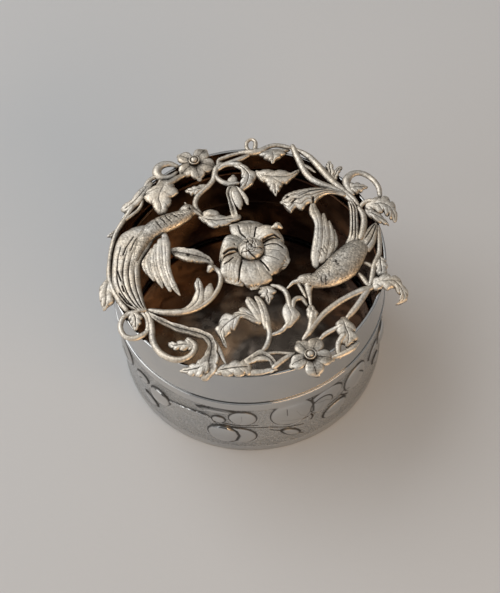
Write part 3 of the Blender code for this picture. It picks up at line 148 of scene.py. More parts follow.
# Stems: x, y, level and half width; levels are shares of RELIEF_H, all else here shares of LID_R
STEM_SHARES = {
    "scroll_front_left": (
        ((-0.735, -0.43, 0.18, 0.016), (-0.707, -0.49, 0.18, 0.02), (-0.695, -0.57, 0.18, 0.02),
         (-0.694, -0.645, 0.18, 0.02), (-0.675, -0.715, 0.18, 0.02), (-0.636, -0.775, 0.18, 0.02),
         (-0.585, -0.815, 0.18, 0.02), (-0.53, -0.838, 0.2, 0.02), (-0.475, -0.836, 0.22, 0.02),
         (-0.43, -0.812, 0.24, 0.02), (-0.402, -0.77, 0.26, 0.02), (-0.402, -0.728, 0.28, 0.019),
         (-0.43, -0.7, 0.32, 0.017)),
        ((-0.862, -0.435, 0.18, 0.015), (-0.9, -0.478, 0.18, 0.017), (-0.915, -0.535, 0.18, 0.017),
         (-0.902, -0.592, 0.18, 0.017), (-0.868, -0.63, 0.18, 0.017), (-0.815, -0.642, 0.18, 0.018),
         (-0.762, -0.622, 0.18, 0.018), (-0.715, -0.585, 0.18, 0.015)),
        ((-0.8, -0.415, 0.18, 0.013), (-0.757, -0.442, 0.18, 0.015), (-0.73, -0.49, 0.18, 0.015),
         (-0.722, -0.55, 0.18, 0.015), (-0.735, -0.6, 0.18, 0.013)),
        ((-0.866, -0.45, 0.18, 0.015), (-0.832, -0.43, 0.2, 0.016), (-0.795, -0.417, 0.18, 0.013)),
    ),
    "scroll_inner_left": (
        ((-0.694, -0.425, 0.2, 0.016), (-0.65, -0.438, 0.2, 0.02), (-0.6, -0.45, 0.22, 0.022),
         (-0.53, -0.457, 0.24, 0.024), (-0.46, -0.455, 0.26, 0.022), (-0.39, -0.438, 0.26, 0.02),
         (-0.32, -0.4, 0.26, 0.018), (-0.262, -0.345, 0.26, 0.017), (-0.22, -0.28, 0.26, 0.016),
         (-0.2, -0.215, 0.26, 0.016), (-0.2, -0.16, 0.26, 0.016), (-0.218, -0.122, 0.3, 0.016),
         (-0.248, -0.104, 0.36, 0.015)),
    ),
    "bird_left": (
        ((-0.375, 0.402, 0.46, 0.02), (-0.342, 0.385, 0.44, 0.014), (-0.316, 0.362, 0.42, 0.007)),
        ((-0.412, 0.425, 0.56, 0.014), (-0.42, 0.45, 0.54, 0.012), (-0.428, 0.472, 0.5, 0.007)),
    ),
    "bird_right": (
        ((0.352, -0.268, 0.42, 0.02), (0.312, -0.277, 0.42, 0.013), (0.28, -0.306, 0.4, 0.007)),
        ((0.352, -0.29, 0.4, 0.012), (0.37, -0.335, 0.36, 0.012), (0.388, -0.382, 0.32, 0.009)),
        ((0.42, -0.31, 0.4, 0.032), (0.417, -0.355, 0.36, 0.02), (0.42, -0.405, 0.32, 0.013),
         (0.422, -0.455, 0.3, 0.009)),
    ),
    "bird_right_tail": (
        ((0.828, 0.085, 0.42, 0.02), (0.849, 0.15, 0.4, 0.022), (0.862, 0.22, 0.36, 0.021),
         (0.86, 0.29, 0.32, 0.02), (0.842, 0.345, 0.28, 0.016)),
    ),
    "leaf_left_back": (
        ((-0.436, 0.758, 0.26, 0.014), (-0.466, 0.743, 0.3, 0.018), (-0.504, 0.713, 0.38, 0.02),
         (-0.548, 0.672, 0.5, 0.02)),
    ),
    "vine_left": (
        ((-0.728, 0.672, 0.18, 0.014), (-0.752, 0.625, 0.18, 0.018), (-0.785, 0.56, 0.18, 0.019),
         (-0.83, 0.485, 0.18, 0.018), (-0.875, 0.405, 0.18, 0.016), (-0.912, 0.338, 0.18, 0.016),
         (-0.945, 0.27, 0.18, 0.015), (-0.968, 0.185, 0.18, 0.015), (-0.984, 0.1, 0.18, 0.014),
         (-0.994, 0.0, 0.18, 0.014), (-0.996, -0.09, 0.18, 0.016), (-0.982, -0.175, 0.18, 0.018),
         (-0.952, -0.26, 0.18, 0.019), (-0.915, -0.335, 0.18, 0.019), (-0.878, -0.392, 0.18, 0.016)),
        ((-0.742, 0.61, 0.2, 0.01), (-0.75, 0.54, 0.2, 0.011), (-0.774, 0.478, 0.2, 0.011),
         (-0.82, 0.43, 0.2, 0.012), (-0.866, 0.392, 0.2, 0.012)),
    ),
    "loop_back_left": (
        ((-0.495, 0.862, 0.18, 0.014), (-0.54, 0.882, 0.18, 0.021), (-0.595, 0.876, 0.18, 0.026),
         (-0.63, 0.843, 0.2, 0.029), (-0.638, 0.798, 0.2, 0.03), (-0.615, 0.76, 0.2, 0.027),
         (-0.575, 0.748, 0.18, 0.023), (-0.53, 0.76, 0.18, 0.019), (-0.502, 0.785, 0.18, 0.013)),
        ((-0.652, 0.764, 0.2, 0.014), (-0.69, 0.742, 0.18, 0.016), (-0.717, 0.7, 0.18, 0.016),
         (-0.724, 0.655, 0.18, 0.016), (-0.704, 0.622, 0.18, 0.016), (-0.668, 0.63, 0.18, 0.016),
         (-0.636, 0.672, 0.18, 0.015), (-0.606, 0.738, 0.18, 0.013)),
    ),
    "scroll_back": (
        ((-0.165, 0.838, 0.2, 0.018), (-0.195, 0.802, 0.2, 0.02), (-0.207, 0.745, 0.2, 0.019),
         (-0.222, 0.695, 0.2, 0.018), (-0.256, 0.648, 0.2, 0.018), (-0.306, 0.6, 0.2, 0.018),
         (-0.345, 0.548, 0.2, 0.018), (-0.36, 0.492, 0.2, 0.017), (-0.352, 0.445, 0.2, 0.016),
         (-0.33, 0.41, 0.2, 0.013)),
        ((-0.205, 0.765, 0.2, 0.015), (-0.188, 0.716, 0.2, 0.017), (-0.15, 0.678, 0.2, 0.018),
         (-0.1, 0.655, 0.2, 0.018), (-0.05, 0.652, 0.24, 0.015)),
        ((-0.172, 0.806, 0.2, 0.015), (-0.135, 0.832, 0.2, 0.017), (-0.085, 0.84, 0.22, 0.018),
         (-0.03, 0.828, 0.28, 0.02)),
        ((-0.176, 0.842, 0.18, 0.015), (-0.168, 0.888, 0.18, 0.014), (-0.12, 0.912, 0.18, 0.014),
         (-0.06, 0.934, 0.18, 0.013), (-0.014, 0.942, 0.18, 0.012)),
        ((-0.14, 0.84, 0.2, 0.015), (-0.07, 0.862, 0.2, 0.018), (-0.005, 0.888, 0.18, 0.018),
         (0.04, 0.91, 0.18, 0.014)),
    ),
    "vine_back": (
        ((0.002, 0.946, 0.18, 0.014), (0.055, 0.944, 0.18, 0.022), (0.105, 0.944, 0.18, 0.025),
         (0.155, 0.955, 0.18, 0.022), (0.202, 0.984, 0.18, 0.017), (0.256, 0.998, 0.18, 0.016),
         (0.31, 0.99, 0.18, 0.016), (0.362, 0.972, 0.18, 0.014)),
        ((0.06, 0.955, 0.18, 0.015), (0.046, 1.0, 0.18, 0.013), (0.053, 1.048, 0.18, 0.012),
         (0.084, 1.072, 0.18, 0.011), (0.114, 1.048, 0.18, 0.013), (0.112, 0.996, 0.18, 0.015),
         (0.098, 0.955, 0.18, 0.014)),
    ),
    "stems_back_right": (
        ((0.398, 0.968, 0.18, 0.017), (0.413, 0.902, 0.2, 0.022), (0.433, 0.838, 0.2, 0.023),
         (0.451, 0.776, 0.2, 0.024), (0.472, 0.718, 0.2, 0.023), (0.506, 0.662, 0.2, 0.022),
         (0.552, 0.62, 0.2, 0.022), (0.604, 0.588, 0.18, 0.022), (0.658, 0.558, 0.18, 0.022),
         (0.71, 0.522, 0.18, 0.021), (0.755, 0.48, 0.18, 0.018), (0.79, 0.432, 0.18, 0.015)),
        ((0.422, 0.942, 0.18, 0.013), (0.472, 0.905, 0.2, 0.018), (0.518, 0.858, 0.2, 0.021),
         (0.558, 0.798, 0.2, 0.023), (0.597, 0.732, 0.2, 0.024), (0.634, 0.668, 0.2, 0.024),
         (0.67, 0.612, 0.2, 0.023), (0.714, 0.56, 0.2, 0.022), (0.762, 0.505, 0.18, 0.02),
         (0.804, 0.45, 0.18, 0.018), (0.832, 0.398, 0.18, 0.013)),
        ((0.478, 0.77, 0.22, 0.017), (0.506, 0.752, 0.22, 0.014), (0.534, 0.724, 0.22, 0.007)),
    ),
    "curl_right_back": (
        ((0.798, 0.505, 0.24, 0.016), (0.774, 0.55, 0.24, 0.024), (0.77, 0.61, 0.24, 0.028),
         (0.8, 0.66, 0.24, 0.025), (0.852, 0.683, 0.22, 0.02), (0.906, 0.67, 0.2, 0.019),
         (0.952, 0.63, 0.2, 0.018), (0.985, 0.58, 0.2, 0.018), (1.002, 0.528, 0.2, 0.018),
         (1.004, 0.474, 0.2, 0.016)),
    ),
    "leaf_right_upper": (
        ((0.846, 0.355, 0.2, 0.012), (0.872, 0.392, 0.24, 0.016), (0.912, 0.408, 0.32, 0.016),
         (0.955, 0.4, 0.42, 0.014)),
    ),
    "vine_right": (
        ((0.962, 0.165, 0.18, 0.013), (0.958, 0.08, 0.18, 0.015), (0.952, 0.0, 0.18, 0.015),
         (0.942, -0.062, 0.18, 0.016), (0.918, -0.112, 0.18, 0.018), (0.896, -0.162, 0.18, 0.018),
         (0.883, -0.218, 0.18, 0.018), (0.868, -0.278, 0.18, 0.017), (0.85, -0.325, 0.18, 0.013)),
        ((0.838, -0.134, 0.2, 0.012), (0.864, -0.15, 0.2, 0.014), (0.892, -0.172, 0.18, 0.013)),
        ((0.786, -0.224, 0.2, 0.012), (0.81, -0.262, 0.2, 0.015), (0.83, -0.302, 0.18, 0.015),
         (0.85, -0.328, 0.18, 0.012)),
    ),
    "stems_front_right": (
        ((0.856, -0.346, 0.18, 0.018), (0.8, -0.366, 0.18, 0.026), (0.74, -0.386, 0.18, 0.022),
         (0.68, -0.415, 0.18, 0.02), (0.612, -0.456, 0.18, 0.02), (0.546, -0.506, 0.18, 0.02),
         (0.486, -0.562, 0.18, 0.02), (0.436, -0.62, 0.18, 0.021), (0.396, -0.676, 0.18, 0.021),
         (0.362, -0.722, 0.18, 0.015)),
        ((0.826, -0.37, 0.18, 0.021), (0.786, -0.432, 0.18, 0.02), (0.742, -0.495, 0.18, 0.02),
         (0.704, -0.542, 0.18, 0.019), (0.67, -0.58, 0.18, 0.013)),
        ((0.396, -0.68, 0.2, 0.017), (0.408, -0.635, 0.22, 0.019), (0.42, -0.59, 0.28, 0.021),
         (0.427, -0.55, 0.32, 0.022)),
    ),
    "leaf_front_right": (
        ((0.606, -0.662, 0.4, 0.016), (0.568, -0.676, 0.28, 0.015), (0.532, -0.692, 0.22, 0.016),
         (0.498, -0.712, 0.2, 0.015), (0.474, -0.735, 0.2, 0.012)),
        ((0.622, -0.745, 0.36, 0.022), (0.59, -0.79, 0.26, 0.019), (0.582, -0.84, 0.2, 0.018),
         (0.586, -0.878, 0.18, 0.014)),
        ((0.714, -0.802, 0.18, 0.012), (0.682, -0.834, 0.18, 0.018), (0.632, -0.862, 0.18, 0.019),
         (0.58, -0.884, 0.18, 0.018), (0.548, -0.892, 0.18, 0.012)),
    ),
    "tulip_front": (
        ((0.06, -0.818, 0.2, 0.014), (0.091, -0.776, 0.2, 0.017), (0.113, -0.72, 0.2, 0.017),
         (0.121, -0.665, 0.22, 0.018), (0.112, -0.608, 0.3, 0.018)),
    ),
    "bud_front": (
        ((0.146, -0.682, 0.2, 0.012), (0.182, -0.67, 0.2, 0.014), (0.218, -0.648, 0.22, 0.015),
         (0.254, -0.605, 0.32, 0.015)),
        ((0.176, -0.282, 0.24, 0.012), (0.212, -0.296, 0.24, 0.016), (0.246, -0.326, 0.24, 0.017),
         (0.264, -0.372, 0.26, 0.017), (0.27, -0.42, 0.32, 0.017), (0.273, -0.462, 0.38, 0.016)),
        ((0.298, -0.47, 0.38, 0.013), (0.306, -0.426, 0.32, 0.016), (0.336, -0.402, 0.28, 0.017),
         (0.368, -0.408, 0.24, 0.015), (0.388, -0.442, 0.2, 0.011)),
    ),
    "leaves_front": (
        ((0.095, -0.838, 0.26, 0.012), (0.15, -0.832, 0.22, 0.011), (0.21, -0.838, 0.2, 0.011),
         (0.262, -0.848, 0.2, 0.012)),
        ((0.145, -0.938, 0.26, 0.017), (0.188, -0.902, 0.22, 0.018), (0.232, -0.872, 0.2, 0.017),
         (0.268, -0.852, 0.2, 0.013)),
    ),
}

# Leaves, feathers and petals: x and y of one edge, x and y of the other edge, and the level
BLADE_SHARES = {
    "scroll_front_left": (
        ((-0.412, -0.705, -0.424, -0.772, 0.44), (-0.46, -0.686, -0.466, -0.775, 0.48),
         (-0.505, -0.696, -0.51, -0.768, 0.46), (-0.545, -0.7, -0.545, -0.762, 0.42),
         (-0.568, -0.69, -0.57, -0.738, 0.34)),
        ((-0.86, -0.448, -0.792, -0.415, 0.36), (-0.855, -0.49, -0.762, -0.475, 0.44),
         (-0.842, -0.53, -0.768, -0.525, 0.4), (-0.825, -0.562, -0.79, -0.558, 0.32)),
    ),
    "leaf_front_left": (
        ((-0.71, -0.438, -0.704, -0.48, 0.34), (-0.652, -0.482, -0.658, -0.524, 0.4),
         (-0.598, -0.516, -0.604, -0.562, 0.44), (-0.53, -0.553, -0.534, -0.61, 0.46),
         (-0.45, -0.585, -0.456, -0.644, 0.48), (-0.38, -0.61, -0.388, -0.672, 0.5),
         (-0.318, -0.64, -0.336, -0.702, 0.52), (-0.272, -0.682, -0.312, -0.74, 0.54),
         (-0.25, -0.738, -0.316, -0.786, 0.56), (-0.242, -0.8, -0.34, -0.83, 0.56),
         (-0.24, -0.86, -0.368, -0.876, 0.52), (-0.248, -0.915, -0.385, -0.93, 0.46),
         (-0.272, -0.965, -0.388, -0.97, 0.38), (-0.308, -0.994, -0.364, -0.99, 0.3)),
        ((-0.328, -0.835, -0.312, -0.955, 0.48), (-0.39, -0.862, -0.366, -0.984, 0.44),
         (-0.45, -0.89, -0.432, -0.972, 0.36), (-0.498, -0.918, -0.478, -0.942, 0.28)),
        ((-0.285, -0.66, -0.314, -0.7, 0.46), (-0.242, -0.73, -0.27, -0.758, 0.42),
         (-0.216, -0.79, -0.245, -0.8, 0.4), (-0.201, -0.845, -0.225, -0.85, 0.36),
         (-0.19, -0.89, -0.203, -0.89, 0.3)),
    ),
    "scroll_inner_left": (
        ((-0.5, -0.437, -0.49, -0.476, 0.4), (-0.432, -0.4, -0.41, -0.46, 0.46),
         (-0.398, -0.345, -0.346, -0.422, 0.5), (-0.386, -0.29, -0.318, -0.34, 0.54),
         (-0.386, -0.238, -0.32, -0.262, 0.52), (-0.372, -0.2, -0.344, -0.202, 0.46)),
        ((-0.372, -0.372, -0.282, -0.376, 0.46), (-0.33, -0.312, -0.256, -0.325, 0.5),
         (-0.308, -0.268, -0.254, -0.282, 0.48), (-0.29, -0.247, -0.262, -0.25, 0.42)),
    ),
    "bird_left_tail": (
        ((-0.85, 0.28, -0.712, 0.31, 0.44), (-0.898, 0.242, -0.664, 0.275, 0.56),
         (-0.93, 0.18, -0.672, 0.2, 0.6), (-0.95, 0.095, -0.7, 0.115, 0.62),
         (-0.962, 0.005, -0.745, 0.025, 0.62), (-0.968, -0.085, -0.772, -0.065, 0.6),
         (-0.966, -0.172, -0.775, -0.155, 0.58), (-0.942, -0.255, -0.767, -0.245, 0.56),
         (-0.898, -0.332, -0.752, -0.325, 0.54), (-0.846, -0.392, -0.738, -0.388, 0.5),
         (-0.798, -0.43, -0.726, -0.42, 0.46)),
    ),
    "bird_left_wing": (
        ((-0.608, 0.182, -0.568, 0.19, 0.76), (-0.608, 0.108, -0.55, 0.11, 0.84),
         (-0.606, 0.01, -0.552, 0.01, 0.84), (-0.602, -0.08, -0.553, -0.085, 0.82),
         (-0.584, -0.17, -0.536, -0.175, 0.76), (-0.556, -0.245, -0.514, -0.24, 0.68),
         (-0.523, -0.298, -0.496, -0.292, 0.6), (-0.502, -0.322, -0.489, -0.318, 0.54)),
        ((-0.64, 0.142, -0.594, 0.15, 0.76), (-0.652, 0.045, -0.594, 0.045, 0.82),
         (-0.648, -0.055, -0.592, -0.055, 0.8), (-0.632, -0.14, -0.574, -0.15, 0.74),
         (-0.602, -0.222, -0.552, -0.222, 0.66), (-0.574, -0.275, -0.548, -0.27, 0.56)),
        ((-0.67, 0.1, -0.628, 0.11, 0.74), (-0.694, 0.015, -0.638, 0.015, 0.78),
         (-0.692, -0.07, -0.634, -0.07, 0.74), (-0.676, -0.148, -0.616, -0.152, 0.66),
         (-0.646, -0.21, -0.602, -0.21, 0.58), (-0.624, -0.242, -0.606, -0.238, 0.5)),
        ((-0.7, 0.066, -0.66, 0.076, 0.7), (-0.734, -0.005, -0.678, -0.005, 0.74),
         (-0.734, -0.08, -0.678, -0.08, 0.68), (-0.714, -0.138, -0.662, -0.142, 0.6),
         (-0.688, -0.174, -0.664, -0.172, 0.52)),
        ((-0.73, 0.018, -0.696, 0.032, 0.66), (-0.756, -0.032, -0.712, -0.026, 0.66),
         (-0.752, -0.08, -0.71, -0.08, 0.6), (-0.734, -0.114, -0.71, -0.114, 0.52)),
    ),
    "leaf_by_wing": (
        ((-0.546, 0.095, -0.542, 0.045, 0.42), (-0.505, 0.095, -0.51, 0.008, 0.48),
         (-0.445, 0.085, -0.455, -0.022, 0.54), (-0.385, 0.068, -0.405, -0.042, 0.56),
         (-0.325, 0.04, -0.345, -0.048, 0.5), (-0.28, 0.005, -0.296, -0.052, 0.42),
         (-0.254, -0.028, -0.268, -0.062, 0.34)),
    ),
    "branch_left": (
        ((-0.322, 0.378, -0.326, 0.334, 0.42), (-0.29, 0.374, -0.298, 0.298, 0.48),
         (-0.25, 0.371, -0.252, 0.26, 0.54), (-0.205, 0.364, -0.198, 0.246, 0.54),
         (-0.155, 0.357, -0.155, 0.264, 0.52), (-0.1, 0.358, -0.1, 0.276, 0.48),
         (-0.048, 0.364, -0.044, 0.308, 0.42)),
        ((-0.292, 0.402, -0.286, 0.35, 0.5), (-0.25, 0.412, -0.246, 0.352, 0.54),
         (-0.208, 0.402, -0.202, 0.35, 0.48)),
        ((-0.1, 0.335, -0.045, 0.33, 0.5), (-0.105, 0.405, -0.06, 0.402, 0.56),
         (-0.118, 0.485, -0.084, 0.482, 0.6), (-0.126, 0.55, -0.088, 0.545, 0.62),
         (-0.114, 0.6, -0.068, 0.582, 0.62), (-0.08, 0.614, -0.045, 0.586, 0.56)),
        ((-0.09, 0.602, -0.038, 0.582, 0.58), (-0.094, 0.548, -0.028, 0.545, 0.62),
         (-0.086, 0.488, -0.014, 0.492, 0.6), (-0.064, 0.436, -0.01, 0.445, 0.54),
         (-0.045, 0.414, -0.02, 0.418, 0.48)),
        ((-0.05, 0.6, -0.01, 0.575, 0.54), (-0.03, 0.55, 0.016, 0.535, 0.52),
         (-0.006, 0.5, 0.034, 0.49, 0.48), (0.012, 0.458, 0.034, 0.456, 0.42)),
    ),
    "flower_petals": (
        ((-0.02, 0.09, 0.05, 0.09, 0.46), (-0.068, 0.148, 0.074, 0.155, 0.54),
         (-0.092, 0.208, 0.102, 0.208, 0.6), (-0.088, 0.258, 0.1, 0.245, 0.58),
         (-0.046, 0.286, 0.062, 0.284, 0.5)),
        ((0.04, 0.13, 0.075, 0.08, 0.52), (0.065, 0.198, 0.112, 0.1, 0.66),
         (0.122, 0.22, 0.152, 0.12, 0.74), (0.182, 0.216, 0.196, 0.126, 0.74),
         (0.226, 0.19, 0.236, 0.112, 0.68), (0.256, 0.146, 0.26, 0.096, 0.58)),
        ((0.1, 0.06, 0.085, -0.06, 0.42), (0.15, 0.088, 0.1, -0.12, 0.5), (0.2, 0.098, 0.126, -0.18, 0.56),
         (0.246, 0.074, 0.172, -0.176, 0.56), (0.276, 0.01, 0.214, -0.146, 0.5),
         (0.289, -0.056, 0.256, -0.11, 0.42)),
        ((-0.03, -0.04, 0.08, -0.05, 0.44), (-0.052, -0.12, 0.11, -0.12, 0.56),
         (-0.057, -0.182, 0.136, -0.186, 0.6), (-0.04, -0.228, 0.146, -0.236, 0.54),
         (-0.002, -0.262, 0.106, -0.262, 0.46), (0.024, -0.278, 0.066, -0.276, 0.4)),
        ((-0.046, 0.062, 0.022, 0.01, 0.42), (-0.1, 0.01, -0.035, -0.03, 0.46),
         (-0.152, -0.022, -0.05, -0.09, 0.52), (-0.18, -0.082, -0.06, -0.15, 0.56),
         (-0.184, -0.152, -0.063, -0.206, 0.52), (-0.166, -0.2, -0.076, -0.236, 0.44)),
        ((-0.02, 0.125, -0.045, 0.03, 0.5), (-0.075, 0.152, -0.085, 0.026, 0.64),
         (-0.13, 0.15, -0.126, 0.02, 0.7), (-0.168, 0.11, -0.156, 0.004, 0.66),
         (-0.187, 0.048, -0.176, -0.02, 0.58), (-0.199, -0.022, -0.19, -0.046, 0.48)),
    ),
    "bird_right_wing": (
        ((0.458, -0.13, 0.5, -0.158, 0.62), (0.455, -0.075, 0.522, -0.085, 0.78),
         (0.47, 0.01, 0.545, 0.0, 0.86), (0.49, 0.105, 0.555, 0.105, 0.86),
         (0.503, 0.195, 0.558, 0.198, 0.8), (0.492, 0.26, 0.556, 0.262, 0.74),
         (0.477, 0.305, 0.546, 0.315, 0.68), (0.475, 0.355, 0.532, 0.358, 0.6),
         (0.486, 0.402, 0.522, 0.4, 0.52)),
        ((0.5, -0.115, 0.555, -0.115, 0.7), (0.52, -0.015, 0.585, -0.02, 0.82),
         (0.54, 0.085, 0.602, 0.085, 0.8), (0.545, 0.185, 0.6, 0.185, 0.74),
         (0.552, 0.25, 0.592, 0.252, 0.66), (0.564, 0.295, 0.584, 0.296, 0.58)),
        ((0.535, -0.105, 0.592, -0.085, 0.66), (0.565, -0.012, 0.628, -0.008, 0.76),
         (0.585, 0.085, 0.638, 0.088, 0.72), (0.588, 0.165, 0.632, 0.168, 0.64),
         (0.6, 0.225, 0.618, 0.228, 0.56)),
        ((0.57, -0.085, 0.625, -0.048, 0.6), (0.605, -0.005, 0.652, 0.01, 0.68),
         (0.618, 0.075, 0.656, 0.08, 0.62), (0.632, 0.145, 0.647, 0.148, 0.54)),
    ),
    "bird_right_tail": (
        ((0.715, 0.045, 0.8, 0.02, 0.5), (0.742, 0.105, 0.812, 0.095, 0.5),
         (0.757, 0.185, 0.818, 0.182, 0.48), (0.765, 0.27, 0.822, 0.268, 0.44),
         (0.768, 0.345, 0.826, 0.342, 0.4), (0.764, 0.405, 0.808, 0.405, 0.36)),
        ((0.8, 0.06, 0.875, -0.04, 0.5), (0.84, 0.105, 0.916, 0.02, 0.48),
         (0.875, 0.15, 0.938, 0.08, 0.44), (0.91, 0.186, 0.952, 0.145, 0.38),
         (0.936, 0.206, 0.955, 0.188, 0.32)),
    ),
    "acanthus_right": (
        ((0.735, 0.5, 0.732, 0.465, 0.44), (0.68, 0.522, 0.674, 0.484, 0.5),
         (0.62, 0.538, 0.612, 0.484, 0.56), (0.56, 0.545, 0.556, 0.452, 0.62),
         (0.502, 0.546, 0.512, 0.408, 0.66), (0.452, 0.542, 0.468, 0.41, 0.66),
         (0.402, 0.536, 0.422, 0.362, 0.64), (0.352, 0.525, 0.376, 0.386, 0.6),
         (0.312, 0.506, 0.34, 0.35, 0.56), (0.286, 0.48, 0.306, 0.384, 0.5),
         (0.278, 0.452, 0.285, 0.424, 0.44)),
    ),
    "stems_back_right": (
        ((0.64, 0.655, 0.686, 0.646, 0.26), (0.632, 0.72, 0.69, 0.702, 0.32),
         (0.63, 0.775, 0.684, 0.762, 0.34), (0.645, 0.8, 0.672, 0.794, 0.3)),
        ((0.662, 0.662, 0.7, 0.636, 0.24), (0.686, 0.714, 0.724, 0.69, 0.3),
         (0.714, 0.752, 0.748, 0.73, 0.28)),
    ),
    "curl_right_back": (
        ((0.765, 0.575, 0.786, 0.506, 0.38), (0.815, 0.582, 0.83, 0.498, 0.44),
         (0.866, 0.575, 0.87, 0.508, 0.42), (0.908, 0.55, 0.9, 0.53, 0.36)),
    ),
    "leaf_right_upper": (
        ((0.905, 0.4, 0.9, 0.33, 0.42), (0.955, 0.425, 0.945, 0.31, 0.52),
         (1.01, 0.438, 0.99, 0.295, 0.58), (1.06, 0.418, 1.025, 0.275, 0.58),
         (1.095, 0.375, 1.045, 0.26, 0.52), (1.111, 0.315, 1.06, 0.245, 0.42),
         (1.109, 0.252, 1.076, 0.228, 0.32)),
        ((0.893, 0.35, 0.893, 0.275, 0.42), (0.935, 0.335, 0.935, 0.235, 0.46),
         (0.98, 0.3, 0.985, 0.202, 0.42), (1.015, 0.25, 1.02, 0.195, 0.34),
         (1.036, 0.212, 1.03, 0.19, 0.28)),
    ),
    "vine_right": (
        ((0.93, -0.072, 0.957, -0.086, 0.23), (0.915, -0.12, 0.98, -0.112, 0.34),
         (0.902, -0.178, 0.992, -0.165, 0.38), (0.908, -0.232, 0.985, -0.222, 0.32)),
    ),
    "leaf_right_lower": (
        ((0.895, -0.256, 0.875, -0.362, 0.38), (0.94, -0.25, 0.92, -0.365, 0.46),
         (0.985, -0.247, 0.965, -0.374, 0.5), (1.03, -0.262, 1.005, -0.364, 0.5),
         (1.07, -0.302, 1.035, -0.395, 0.46), (1.096, -0.36, 1.048, -0.416, 0.4),
         (1.113, -0.414, 1.052, -0.44, 0.32), (1.105, -0.454, 1.044, -0.462, 0.24),
         (1.07, -0.474, 1.022, -0.478, 0.18)),
    ),
    "stems_front_right": (
        ((0.402, -0.6, 0.446, -0.602, 0.4), (0.39, -0.552, 0.468, -0.56, 0.48),
         (0.386, -0.516, 0.466, -0.526, 0.48), (0.402, -0.482, 0.446, -0.488, 0.42)),
    ),
    "leaf_front_right": (
        ((0.612, -0.6, 0.662, -0.596, 0.42), (0.587, -0.636, 0.695, -0.632, 0.52),
         (0.586, -0.682, 0.711, -0.69, 0.56), (0.602, -0.73, 0.722, -0.74, 0.52),
         (0.604, -0.776, 0.714, -0.78, 0.44), (0.628, -0.806, 0.672, -0.802, 0.36)),
    ),
    "vine_left": (
        ((-0.785, 0.592, -0.8, 0.51, 0.28), (-0.836, 0.556, -0.84, 0.5, 0.32),
         (-0.88, 0.53, -0.878, 0.504, 0.26)),
        ((-0.93, 0.322, -0.948, 0.24, 0.24), (-0.968, 0.288, -0.974, 0.236, 0.26),
         (-0.995, 0.264, -0.995, 0.244, 0.22)),
        ((-0.7, 0.715, -0.672, 0.69, 0.3), (-0.755, 0.668, -0.7, 0.62, 0.38),
         (-0.8, 0.61, -0.738, 0.56, 0.4), (-0.838, 0.56, -0.78, 0.512, 0.38),
         (-0.88, 0.525, -0.82, 0.48, 0.32), (-0.905, 0.5, -0.86, 0.462, 0.26)),
        ((-1.0, -0.1, -0.975, -0.122, 0.24), (-1.036, -0.17, -0.97, -0.19, 0.3),
         (-1.064, -0.226, -0.962, -0.252, 0.32), (-1.062, -0.28, -0.965, -0.306, 0.28),
         (-1.05, -0.33, -0.986, -0.342, 0.22), (-1.04, -0.368, -1.012, -0.366, 0.16)),
    ),
    "leaf_left_back": (
        ((-0.612, 0.69, -0.545, 0.694, 0.58), (-0.665, 0.64, -0.512, 0.64, 0.66),
         (-0.715, 0.585, -0.512, 0.578, 0.68), (-0.7, 0.528, -0.548, 0.52, 0.66),
         (-0.662, 0.474, -0.556, 0.47, 0.6), (-0.64, 0.425, -0.578, 0.422, 0.54)),
    ),
    "scroll_back": (
        ((-0.252, 0.668, -0.298, 0.606, 0.34), (-0.33, 0.65, -0.345, 0.578, 0.4),
         (-0.38, 0.638, -0.385, 0.574, 0.38), (-0.415, 0.622, -0.406, 0.594, 0.32)),
        ((-0.05, 0.858, -0.06, 0.814, 0.36), (0.008, 0.826, -0.018, 0.776, 0.44),
         (0.056, 0.782, -0.004, 0.736, 0.5), (0.1, 0.738, -0.008, 0.696, 0.52),
         (0.1, 0.684, -0.014, 0.66, 0.48), (0.072, 0.638, -0.02, 0.63, 0.42),
         (0.02, 0.596, -0.026, 0.602, 0.34)),
        ((-0.12, 0.658, -0.045, 0.655, 0.32), (-0.108, 0.697, -0.04, 0.7, 0.36),
         (-0.084, 0.721, -0.055, 0.72, 0.32)),
    ),
    "vine_back": (
        ((0.142, 0.945, 0.348, 0.952, 0.3), (0.17, 0.898, 0.316, 0.906, 0.4),
         (0.198, 0.864, 0.286, 0.872, 0.38), (0.224, 0.843, 0.252, 0.846, 0.32)),
    ),
    "leaf_back": (
        ((0.112, 0.756, 0.116, 0.695, 0.44), (0.15, 0.75, 0.148, 0.656, 0.48),
         (0.2, 0.745, 0.196, 0.63, 0.5), (0.255, 0.741, 0.258, 0.614, 0.5),
         (0.312, 0.728, 0.316, 0.62, 0.48), (0.362, 0.716, 0.356, 0.654, 0.44),
         (0.402, 0.73, 0.4, 0.69, 0.38), (0.422, 0.743, 0.418, 0.716, 0.32)),
        ((0.18, 0.672, 0.288, 0.662, 0.46), (0.195, 0.606, 0.284, 0.606, 0.46),
         (0.212, 0.56, 0.266, 0.56, 0.4), (0.23, 0.527, 0.246, 0.527, 0.34)),
    ),
    "tulip_front": (
        ((0.085, -0.63, 0.136, -0.608, 0.4), (0.068, -0.56, 0.128, -0.55, 0.48),
         (0.06, -0.49, 0.112, -0.475, 0.54), (0.046, -0.43, 0.09, -0.416, 0.52),
         (0.034, -0.386, 0.068, -0.382, 0.46)),
        ((0.04, -0.59, 0.1, -0.548, 0.44), (0.008, -0.508, 0.07, -0.488, 0.54),
         (-0.022, -0.45, 0.044, -0.436, 0.56), (-0.033, -0.405, 0.018, -0.396, 0.5),
         (-0.024, -0.384, 0.004, -0.382, 0.44)),
        ((0.02, -0.58, 0.07, -0.545, 0.4), (-0.046, -0.53, 0.01, -0.498, 0.46),
         (-0.078, -0.482, -0.036, -0.456, 0.42)),
        ((0.102, -0.604, 0.068, -0.548, 0.37), (0.028, -0.59, 0.0, -0.514, 0.46),
